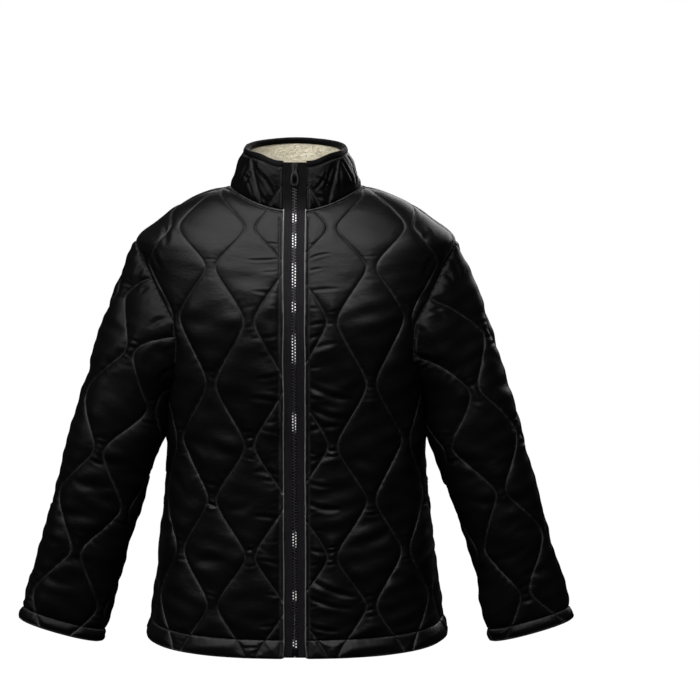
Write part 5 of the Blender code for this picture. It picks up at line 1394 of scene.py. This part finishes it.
# the collar, its fleece lining and its binding
collarLook = {
    "seed": 81, "step": 0.0023, "crown": 0.45, "pucker": 0.0009, "cellFold": 0.0007, "drift": 0.0006,
    "edgeStitch": 0.0030, "edgeStitchEnds": 0.002, "liningBottom": 0.003, "liningThickness": 0.0025,
    "gap": 0.0004, "bindingLeg": 0.007, "bindingThickness": 0.0011, "bindingStitch": 0.0015,
    "bindingCut": 0.019,
    # around from the centre back and level of both ends; the zip is at -250 and 250
    "creases": (
        (-240, 12, -206, 50, 4, 2.8, 1.3), (-232, 4, -188, 40, -4, 3.0, 1.2),
        (-222, 36, -196, 56, -3, 2.4, 1.0), (-204, 8, -178, 34, 3, 2.8, 1.2),
        (-198, 48, -184, 14, 3, 3.0, 1.3), (-178, 57, -170, 12, -2, 2.8, 1.4),
        (-168, 40, -150, 10, 3, 2.8, 1.2), (-160, 12, -138, 52, 3, 3.2, 1.3),
        (-134, 54, -128, 14, 2, 2.8, 1.2), (-96, 12, -70, 40, 4, 3.4, 1.1), (-40, 48, -12, 18, 4, 3.6, 1.0),
        (8, 12, 34, 42, -3, 3.4, 1.0), (62, 50, 84, 16, 3, 3.4, 1.1), (118, 10, 130, 52, 2, 3.0, 1.2),
        (146, 50, 160, 10, -3, 3.0, 1.3), (166, 14, 178, 56, 2, 2.8, 1.3), (184, 54, 194, 10, 2, 2.6, 1.4),
        (196, 56, 222, 20, 4, 2.8, 1.4), (202, 6, 236, 46, 4, 3.0, 1.4), (214, 50, 241, 26, -3, 2.4, 1.2),
        (222, 8, 242, 18, 2, 2.4, 0.9), (-244, 52, -222, 58, 1, 2.2, 0.7),
),
}


def collarPoint(fraction, share):
    low, high = ringRead(neckline, "point", fraction), ringRead(neckline, "top", fraction)
    return low + (high - low) * share[:, None]


def collarSurface(flat):
    # flat places: distance around from the centre back, and height over the neck seam
    fraction = np.clip(flat[:, 0] / neck["length"] + 0.5, 0.0, 1.0)
    share = flat[:, 1] / neck["height"]
    step = 0.002
    around = (collarPoint(np.clip(fraction + step, 0, 1), share)
              - collarPoint(np.clip(fraction - step, 0, 1), share))
    upward = collarPoint(fraction, share + step) - collarPoint(fraction, share - step)
    return collarPoint(fraction, share), unit(np.cross(upward, around))


def collarPlaces():
    side = neckline["side"]
    forward = neckPlaces(0.0, side)
    return np.concatenate([forward, neckPlaces(side, 1 - side)[1:], (1 - forward[::-1])[1:]])


def makeCollar(name, look):
    rim = Rim()
    zero = (0.0, 0.0, 0.0)
    half, tall = neck["length"] / 2, neck["height"]
    around = collarPlaces()
    arc = (around - 0.5) * neck["length"]
    rim.add(np.column_stack([arc, np.zeros(len(arc))]), ringRead(neckline, "point", around),
            ringRead(neckline, "rib", around), -unit(ringRead(neckline, "apart", around)), padding["seam"])
    level = tall * evenPlaces(tall, cloth["edgeStep"])
    left = np.column_stack([np.full(len(level), half), level])
    points, normals = collarSurface(left)
    rim.add(left, points, normals, zero, padding["seam"], 0.0004, 0.0004)
    top = np.column_stack([arc[::-1], np.full(len(arc), tall)])
    points, normals = collarSurface(top)
    rim.add(top, points, normals, zero, padding["stitch"])
    right = np.column_stack([np.full(len(level), -half), level[::-1]])
    points, normals = collarSurface(right)
    rim.add(right, points, normals, zero, padding["seam"], 0.0004, 0.0004)
    band = tall - look["bindingLeg"] - look["bindingStitch"]
    ends = look["edgeStitchEnds"]
    lines = quiltLines(0.0, form["bodyRow"], 0.0, -0.01, band - 0.003, -half, half)
    lines.append(np.array([(-half, band), (half, band)]))
    for x in (look["edgeStitch"] - half, half - look["edgeStitch"]):
        lines.append(np.array([(x, ends), (x, band - ends)]))
    look["plainAbove"] = band - form["seamGap"]
    return makePiece(name, rim, collarSurface, lines, look, "collar_cloth", name)


def sweepFaces(size, rows):
    # faces of a closed profile of so many points, swept through the rows, with both ends capped
    faces = [tuple(reversed(range(size)))]
    for row in range(rows - 1):
        faces += [(row * size + i, row * size + (i + 1) % size, (row + 1) * size + (i + 1) % size,
                   (row + 1) * size + i) for i in range(size)]
    faces.append(tuple((rows - 1) * size + i for i in range(size)))
    return faces


def collarStrip(name, profile, material, node, relief):
    # a strip that follows the collar: the profile lists (rise over the cloth, level) places
    around = np.linspace(0.0, 1.0, 330)
    arc = (around - 0.5) * neck["length"]
    columns = []
    for number, (rise, level) in enumerate(profile):
        points, normals = collarSurface(np.column_stack([arc, np.full(len(arc), level)]))
        columns.append(points + normals * (rise + relief(number, arc, level))[:, None])
    vertices = np.stack(columns, axis=1).reshape(-1, 3)
    made = addMesh(name, vertices, sweepFaces(len(profile), len(around)), material)
    dress(made, "root", node)
    return columns


def makeLining(name, look):
    outer = -form["inside"] - look["gap"]
    inner = outer - look["liningThickness"]
    levels = np.linspace(look["liningBottom"], neck["height"], 40)
    profile = [(outer, level) for level in (levels[0], neck["height"] / 2, levels[-1])]
    profile += [(inner, level) for level in levels[::-1]]

    def pile(number, arc, level):
        if number < 3:
            return np.zeros(len(arc))
        places = np.column_stack([arc, np.full(len(arc), level)])
        return 0.00035 * waves(places, 301, 0.0075) + 0.0005 * waves(places, 302, 0.03)

    return collarStrip(name, profile, "fleece", name, pile)


def makeBinding(name, look):
    outer = padding["stitch"] + look["gap"]
    inner = -form["inside"] - look["liningThickness"] - 2 * look["gap"]
    thick = look["bindingThickness"]
    low, top = neck["height"] - look["bindingLeg"], neck["height"] + form["seamGap"]
    middle, half = (outer + inner) / 2, (outer - inner) / 2 + thick
    profile = [(outer + 0.0003, low), (outer + 0.8 * thick, low + 0.0003)]
    profile += [(outer + thick + 0.0004 * math.sin(math.pi * t), low + t * (top - low))
                for t in (0.12, 0.2, 0.35, 0.5, 0.65, 0.8, 0.92)]
    profile += [(middle + half * math.cos(a), top + 0.0017 * math.sin(a))
                for a in np.linspace(0, math.pi, 11)]
    profile += [(inner - thick - 0.0003 * math.sin(math.pi * t), low + t * (top - low))
                for t in (0.85, 0.6, 0.35, 0.15)]
    profile += [(inner - 0.0002, low), (inner, low + 0.0006), (inner, top), (outer, top),
                (outer, low + 0.0006)]

    def ripple(number, arc, level):
        # the turned cloth pulls at its stitches, and its roll is uneven
        stitch = 0.00022 * (math.exp(-((level - low - 0.0015) / 0.0008) ** 2) if number < 20 else 0.0)
        shown = 1.0 if number < 24 else 0.0
        return (shown * (0.00018 * along(arc, 311, 0.018) + 0.00010 * along(arc + 20 * level, 312, 0.006))
                - stitch * (0.6 + 0.4 * along(arc, 313, 0.004)))

    collarStrip(name, profile, "binding_cloth", name, ripple)


sewnCollar = makeCollar("collar", dict(collarLook))
liningColumns = makeLining("collar_lining", collarLook)
makeBinding("collar_binding", collarLook)
print("collar made")


# the zip: tapes, teeth, bottom box, slider and pull
zipLook = {
    "tapeInner": 0.0001, "cord": 0.0037, "cordRise": 0.0006, "cordWidth": 0.0005, "tapeHalf": 0.0006,
    "behindTeeth": -0.0002, "ribs": (0.0052, 0.0073, 0.0094, 0.0115, 0.0136), "ribRise": 0.00022,
    "ribWidth": 0.00045, "wave": 0.00022, "waveLength": 0.021,
    "boxBottom": 0.0035, "boxLength": 0.011, "sliderFromTop": 0.0145, "toothPitch": 0.0042,
}


def zipPath():
    # the centre line of the front, from the hem up over the neck seam to the collar's top edge
    low = float(heightOnForm(np.array([0.0]), np.array([-neck["front"]]))[0])
    height = np.linspace(form["hem"], low, 160)[:-1]
    body = np.column_stack([np.zeros(len(height)), -bodyTable.at(2, height), height])
    start = np.array((0.0, -neck["front"], low))
    end = np.array((0.0, -neck["topFront"], neck["topHeight"] - neck["tilt"] * neck["topFront"]))
    return np.vstack([body, start + (end - start) * np.linspace(0.0, 1.0, 20)[:, None]])


zipLine = zipPath()
zipLength = float(pathLength(zipLine)[-1])


def zipFrames(places):
    points = readPath(zipLine, places / zipLength)
    upward = unit(readPath(zipLine, np.clip((places + 0.004) / zipLength, 0, 1))
                  - readPath(zipLine, np.clip((places - 0.004) / zipLength, 0, 1)))
    normals = unit(np.cross(upward, np.array((1.0, 0.0, 0.0))))
    normals *= -np.sign(normals[:, 1])[:, None]
    return points, normals, upward


def makeTape(name, way):
    half = zipLook["tapeHalf"]
    edge = form["frontEdge"] - form["seamGap"]
    inner = zipLook["tapeInner"]
    across = np.linspace(inner, edge, 44)
    # the woven edges meet behind the teeth, which close over a cord
    rise = np.where(across < zipLook["cord"] - 0.0007, zipLook["behindTeeth"], half * 0.75)
    for rib in zipLook["ribs"]:
        rise += zipLook["ribRise"] * np.exp(-((across - rib) / zipLook["ribWidth"]) ** 2)
    rise += zipLook["cordRise"] * np.exp(-((across - zipLook["cord"]) / zipLook["cordWidth"]) ** 2)
    profile = list(zip(rise, across)) + [(-half, edge), (-half, inner)]
    places = np.linspace(0.0, zipLength, 300)
    points, normals, _ = zipFrames(places)
    vertices = []
    for row in range(len(places)):
        wave = zipLook["wave"] * math.sin(places[row] * 2 * math.pi / zipLook["waveLength"] + 2 * way)
        for rise, aside in profile:
            shown = wave * (aside - inner) / (edge - inner) if rise > 0 else 0.0
            vertices.append(points[row] + normals[row] * (rise + shown) + np.array((way * aside, 0.0, 0.0)))
    made = addMesh(name, vertices, sweepFaces(len(profile), len(places)), "zip_tape")
    dress(made, "root", name)


makeTape("zip_tape_right", -1.0)
makeTape("zip_tape_left", 1.0)


def copyTree():
    # copies of a small mesh on a mesh's points, each turned by the rotation stored on its point
    tree = bpy.data.node_groups.new("copies_on_points", "GeometryNodeTree")
    sockets = {
        "Geometry": "NodeSocketGeometry", "Copy": "NodeSocketObject", "Finish": "NodeSocketMaterial",
        "Wobble": "NodeSocketFloat", "Least size": "NodeSocketFloat", "Most size": "NodeSocketFloat",
        "Seed": "NodeSocketInt",
    }
    for name, kind in sockets.items():
        tree.interface.new_socket(name, in_out="INPUT", socket_type=kind)
    tree.interface.new_socket("Geometry", in_out="OUTPUT", socket_type="NodeSocketGeometry")

    def node(kind, **settings):
        made = tree.nodes.new(kind)
        for key, value in settings.items():
            setattr(made, key, value)
        return made

    given = node("NodeGroupInput")
    shape = node("GeometryNodeObjectInfo")
    turn = node("GeometryNodeInputNamedAttribute", data_type="FLOAT_VECTOR")
    turn.inputs["Name"].default_value = "turn"
    negative = node("ShaderNodeMath", operation="MULTIPLY")
    negative.inputs[1].default_value = -1.0
    wobble = node("FunctionNodeRandomValue", data_type="FLOAT_VECTOR")
    size = node("FunctionNodeRandomValue", data_type="FLOAT")
    total = node("ShaderNodeVectorMath", operation="ADD")
    rotation = node("FunctionNodeEulerToRotation")
    copies = node("GeometryNodeInstanceOnPoints")
    joined = node("GeometryNodeRealizeInstances")
    finish = node("GeometryNodeSetMaterial")
    result = node("NodeGroupOutput")
    links = (
        (given, "Copy", shape, "Object"), (given, "Wobble", negative, 0), (negative, 0, wobble, "Min"),
        (given, "Wobble", wobble, "Max"), (given, "Seed", wobble, "Seed"), (given, "Seed", size, "Seed"),
        (given, "Least size", size, 2), (given, "Most size", size, 3), (turn, "Attribute", total, 0),
        (wobble, "Value", total, 1), (total, 0, rotation, 0), (given, "Geometry", copies, "Points"),
        (shape, "Geometry", copies, "Instance"), (rotation, 0, copies, "Rotation"),
        (size, 1, copies, "Scale"), (copies, 0, joined, 0), (joined, 0, finish, "Geometry"),
        (given, "Finish", finish, "Material"), (finish, 0, result, 0),
    )
    for source, output, target, socket in links:
        tree.links.new(source.outputs[output], target.inputs[socket])
    return tree


copiesOnPoints = copyTree()


def makeCopies(name, small, points, axes, material, wobble, sizes, seed):
    # axes gives each copy's X, Y and Z directions
    mesh = bpy.data.meshes.new(name + "_points")
    mesh.from_pydata((np.asarray(points) - (0.0, 0.0, form["originAboveHem"])).tolist(), [], [])
    turns = [Matrix(np.column_stack(axis).tolist()).to_euler() for axis in zip(*axes)]
    mesh.attributes.new("turn", "FLOAT_VECTOR", "POINT").data.foreach_set(
        "vector", np.array([tuple(turn) for turn in turns], dtype=np.float32).ravel())
    made = addObject(name, mesh)
    modifier = made.modifiers.new("copies", "NODES")
    modifier.node_group = copiesOnPoints
    values = {"Copy": small, "Finish": materials[material], "Wobble": wobble, "Least size": sizes[0],
              "Most size": sizes[1], "Seed": seed}
    for item in copiesOnPoints.interface.items_tree:
        if item.in_out == "INPUT" and item.name in values:
            modifier[item.identifier] = values[item.name]
    made.update_tag()
    graph = bpy.context.evaluated_depsgraph_get()
    final = bpy.data.meshes.new_from_object(made.evaluated_get(graph))
    made.modifiers.clear()
    made.data = final
    if "turn" in final.attributes:
        final.attributes.remove(final.attributes["turn"])
    bpy.data.objects.remove(small)
    dress(made, "root")
    print(name, len(final.polygons), "faces")
    return made


def smallMesh(name, vertices, faces):
    mesh = bpy.data.meshes.new(name)
    mesh.from_pydata([tuple(vertex) for vertex in vertices], [], faces)
    mesh.shade_smooth()
    return addObject(name, mesh)


def toothMesh():
    # x across towards the tape, y outwards, z along: a block around the tape's cord with a hooked head
    shape = bmesh.new()
    for (x0, x1), (y0, y1), tall in (((0.0009, 0.0032), (-0.0016, 0.0016), 0.0019),
                                     ((-0.0010, 0.0014), (-0.0013, 0.0010), 0.0015)):
        made = bmesh.ops.create_cube(shape, size=1.0)["verts"]
        bmesh.ops.scale(shape, vec=(x1 - x0, y1 - y0, tall), verts=made)
        bmesh.ops.translate(shape, vec=((x0 + x1) / 2, (y0 + y1) / 2, 0.0), verts=made)
    bmesh.ops.bevel(shape, geom=list(shape.edges), offset=0.00032, segments=2, profile=0.6, affect="EDGES")
    mesh = bpy.data.meshes.new("tooth")
    shape.to_mesh(mesh)
    shape.free()
    mesh.shade_smooth()
    return addObject("tooth", mesh)


def makeTeeth(name):
    start = zipLook["boxBottom"] + zipLook["boxLength"] + 0.001
    stop = zipLength - zipLook["sliderFromTop"] - 0.0012
    pitch = zipLook["toothPitch"]
    count = int((stop - start) / (pitch / 2))
    places = start + pitch / 2 * np.arange(count)
    points, normals, _ = zipFrames(places)
    way = np.where(np.arange(count) % 2 == 0, 1.0, -1.0)[:, None]
    across = way * np.array((1.0, 0.0, 0.0))
    axes = (across, normals, np.cross(across, normals))
    made = makeCopies(name, toothMesh(), points, axes, "zip_metal", wobble=0.025, sizes=(0.97, 1.03), seed=5)
    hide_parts("zip_chain")


makeTeeth("zip_teeth")


def finerCopy(name, node, body, bevel, smoothing=0, metal="dark_metal"):
    # a CAD piece with its edges rounded off
    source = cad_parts[node]
    mesh = source.data.copy()
    mesh.transform(source.matrix_world)
    mesh.materials.clear()
    mesh.materials.append(materials[metal])
    made = addObject(name, mesh)
    shape = bmesh.new()
    shape.from_mesh(mesh)
    bmesh.ops.remove_doubles(shape, verts=shape.verts, dist=0.00002)
    bmesh.ops.dissolve_limit(shape, angle_limit=math.radians(2), verts=shape.verts, edges=shape.edges)
    if bevel:
        sharp = [edge for edge in shape.edges if len(edge.link_faces) == 2 and edge.calc_face_angle() > 0.5]
        bmesh.ops.bevel(shape, geom=sharp, offset=bevel, segments=3, profile=0.5, affect="EDGES")
    shape.to_mesh(mesh)
    shape.free()
    if smoothing:
        rounding = made.modifiers.new("rounding", "SUBSURF")
        rounding.levels = smoothing
        graph = bpy.context.evaluated_depsgraph_get()
        made.data = bpy.data.meshes.new_from_object(made.evaluated_get(graph))
        made.modifiers.clear()
    made.data.shade_smooth()
    dress(made, body, node)


finerCopy("slider", "zip_slider", "root", bevel=0.00022, metal="slider_metal")
finerCopy("bottom_box", "zip_box", "root", bevel=0.00030)
finerCopy("pull_loop", "zip_pull", "pull", bevel=0.0, smoothing=1)
print("zip made")


# the sewing
thread = {"length": 0.0030, "pitch": 0.0041, "radius": 0.00026, "flat": 0.62, "lift": 0.00012,
          "sunk": 0.00025}


def stitchMesh():
    # x along: a short thread, which sinks into the cloth at both ends
    half, radius = thread["length"] / 2, thread["radius"]
    vertices = [(-half, 0.0, -thread["sunk"])]
    for x in (-half * thread["flat"], half * thread["flat"]):
        vertices += [(x, radius * math.cos(a), thread["lift"] + radius * math.sin(a))
                     for a in (math.pi * k / 2 for k in range(4))]
    vertices.append((half, 0.0, -thread["sunk"]))
    faces = [(0, 1 + (k + 1) % 4, 1 + k) for k in range(4)]
    faces += [(1 + k, 1 + (k + 1) % 4, 5 + (k + 1) % 4, 5 + k) for k in range(4)]
    faces += [(9, 5 + k, 5 + (k + 1) % 4) for k in range(4)]
    return smallMesh("stitch", vertices, faces)


def makeStitches(name, sewn, seed):
    points, ways, normals = [], [], []
    for line, normal in sewn:
        length = pathLength(line)
        if length[-1] < 2 * thread["pitch"]:
            continue
        at = np.arange(thread["pitch"] / 2, length[-1], thread["pitch"])
        up = unit(between(at, length, normal))
        way = unit(between(at + mm, length, line) - between(at - mm, length, line))
        aside = unit(np.cross(up, way))
        points.append(between(at, length, line))
        ways.append(way)
        normals.append(np.stack([aside, np.cross(way, aside)]))
    aside = np.concatenate([pair[0] for pair in normals])
    up = np.concatenate([pair[1] for pair in normals])
    makeCopies(name, stitchMesh(), np.vstack(points), (np.vstack(ways), aside, up), "quilting_thread",
               wobble=0.06, sizes=(0.9, 1.08), seed=seed)


allSewn = {"front_right": sewnRight, "front_left": sewnLeft, "back": sewnBack,
           "sleeve_right": sewnSleeveRight, "sleeve_left": sewnSleeveLeft, "collar": sewnCollar}
for number, (name, sewn) in enumerate(allSewn.items()):
    makeStitches("sewing_" + name, sewn, seed=number + 3)
print("sewing made")


# the fleece's pile
tuft = {"count": 7500, "wobble": 0.9, "sizes": (0.7, 1.25),
        "rings": ((0.0, 0.00042, 0.0), (0.0008, 0.00040, 0.00015), (0.0014, 0.00022, 0.00050)),
        "tip": (0.00075, 0.0, 0.0016)}   # height, radius and lean of each ring


def tuftMesh():
    # z out of the lining: a short bent lock of fibres
    vertices, faces = [], []
    for ring, (tall, wide, lean) in enumerate(tuft["rings"]):
        vertices += [(lean + wide * math.cos(a), wide * math.sin(a), tall) for a in
                     (2 * math.pi * k / 4 for k in range(4))]
        if ring:
            low = 4 * (ring - 1)
            faces += [(low + k, low + (k + 1) % 4, low + 4 + (k + 1) % 4, low + 4 + k) for k in range(4)]
    vertices.append(tuft["tip"])
    faces += [(8 + k, 8 + (k + 1) % 4, 12) for k in range(4)]
    return smallMesh("tuft", vertices, faces)


def makePile(name, columns):
    inner = np.stack(columns[3:], axis=1)
    rng = np.random.default_rng(9)
    row = rng.uniform(0, inner.shape[0] - 1.001, tuft["count"])
    level = rng.uniform(5, inner.shape[1] - 1.001, tuft["count"])
    i, j = row.astype(int), level.astype(int)
    u, v = (row - i)[:, None], (level - j)[:, None]
    points = (inner[i, j] * (1 - u) * (1 - v) + inner[i + 1, j] * u * (1 - v)
              + inner[i, j + 1] * (1 - u) * v + inner[i + 1, j + 1] * u * v)
    around = unit(inner[i + 1, j] - inner[i, j])
    downward = inner[i, j + 1] - inner[i, j]
    outward = unit(np.cross(around, downward))
    outward *= -np.sign((outward * (points - (0.0, 0.0, 0.70)))[:, :2].sum(axis=1))[:, None]
    aside = unit(np.cross(outward, around))
    makeCopies(name, tuftMesh(), points, (around, aside, outward), "fleece", tuft["wobble"], tuft["sizes"],
               seed=12)


makePile("fleece_pile", liningColumns)
print("fleece made")


# the floor, the backdrop and the lights
floorLook = {"height": -1.45, "radius": 8.0, "bend": 2.0, "wall": 5.0, "level": 1.0, "turns": 48}


def addFloor(look):
    # a round pale sweep: the floor bends up into a wall all round
    inner = look["radius"] - look["bend"]
    profile = [(inner / 2, look["height"]), (inner, look["height"])]
    for i in range(1, 13):
        angle = math.radians(90 * i / 12)
        profile.append((inner + look["bend"] * math.sin(angle),
                        look["height"] + look["bend"] * (1 - math.cos(angle))))
    profile.append((look["radius"], look["wall"]))
    turns = look["turns"]
    vertices = [(0.0, 0.0, look["height"])]
    vertices += [(radius * math.cos(2 * math.pi * k / turns), radius * math.sin(2 * math.pi * k / turns), z)
                 for radius, z in profile for k in range(turns)]
    faces = [(0, 1 + k, 1 + (k + 1) % turns) for k in range(turns)]
    for row in range(len(profile) - 1):
        first = 1 + row * turns
        faces += [(first + k, first + turns + k, first + turns + (k + 1) % turns, first + (k + 1) % turns)
                  for k in range(turns)]
    mesh = bpy.data.meshes.new("floor")
    mesh.from_pydata(vertices, [], faces)
    mesh.shade_smooth()
    finish = Finish("floor", Roughness=0.9, Specular_IOR_Level=0.0, Emission_Strength=look["level"])
    finish.shader.inputs["Base Color"].default_value = (0.05, 0.05, 0.05, 1.0)
    finish.shader.inputs["Emission Color"].default_value = (1.0, 1.0, 1.0, 1.0)
    mesh.materials.append(finish.material)
    floor = addObject("floor", mesh)
    floor.visible_diffuse = False
    floor.visible_glossy = False


def addLight(name, place, aim, width, height, energy):
    light = bpy.data.lights.new(name, "AREA")
    light.shape = "RECTANGLE"
    light.size = width
    light.size_y = height
    light.energy = energy
    lamp = addObject(name, light)
    lamp.location = place
    lamp.visible_camera = False
    lamp.rotation_euler = (Vector(aim) - Vector(place)).to_track_quat("-Z", "Y").to_euler()


addFloor(floorLook)
# place, the point it faces, width, height and watts
addLight("softbox", (-0.55, -1.95, 1.98), (0.0, 0.0, -0.1), 3.8, 2.05, 124.0)
addLight("top", (-0.35, -0.65, 2.6), (0.0, 0.0, -0.1), 3.0, 1.2, 58.0)
addLight("side", (-2.6, -1.4, 0.9), (0.0, 0.0, -0.2), 0.5, 1.4, 6.0)
addLight("behind", (0.9, 2.5, 0.75), (0.0, 0.0, -0.15), 3.0, 1.4, 32.0)
world = bpy.data.worlds.new("studio")
world.use_nodes = True
world.node_tree.nodes["Background"].inputs["Color"].default_value = (1.0, 1.0, 1.0, 1.0)
world.node_tree.nodes["Background"].inputs["Strength"].default_value = 0.02
bpy.context.scene.world = world
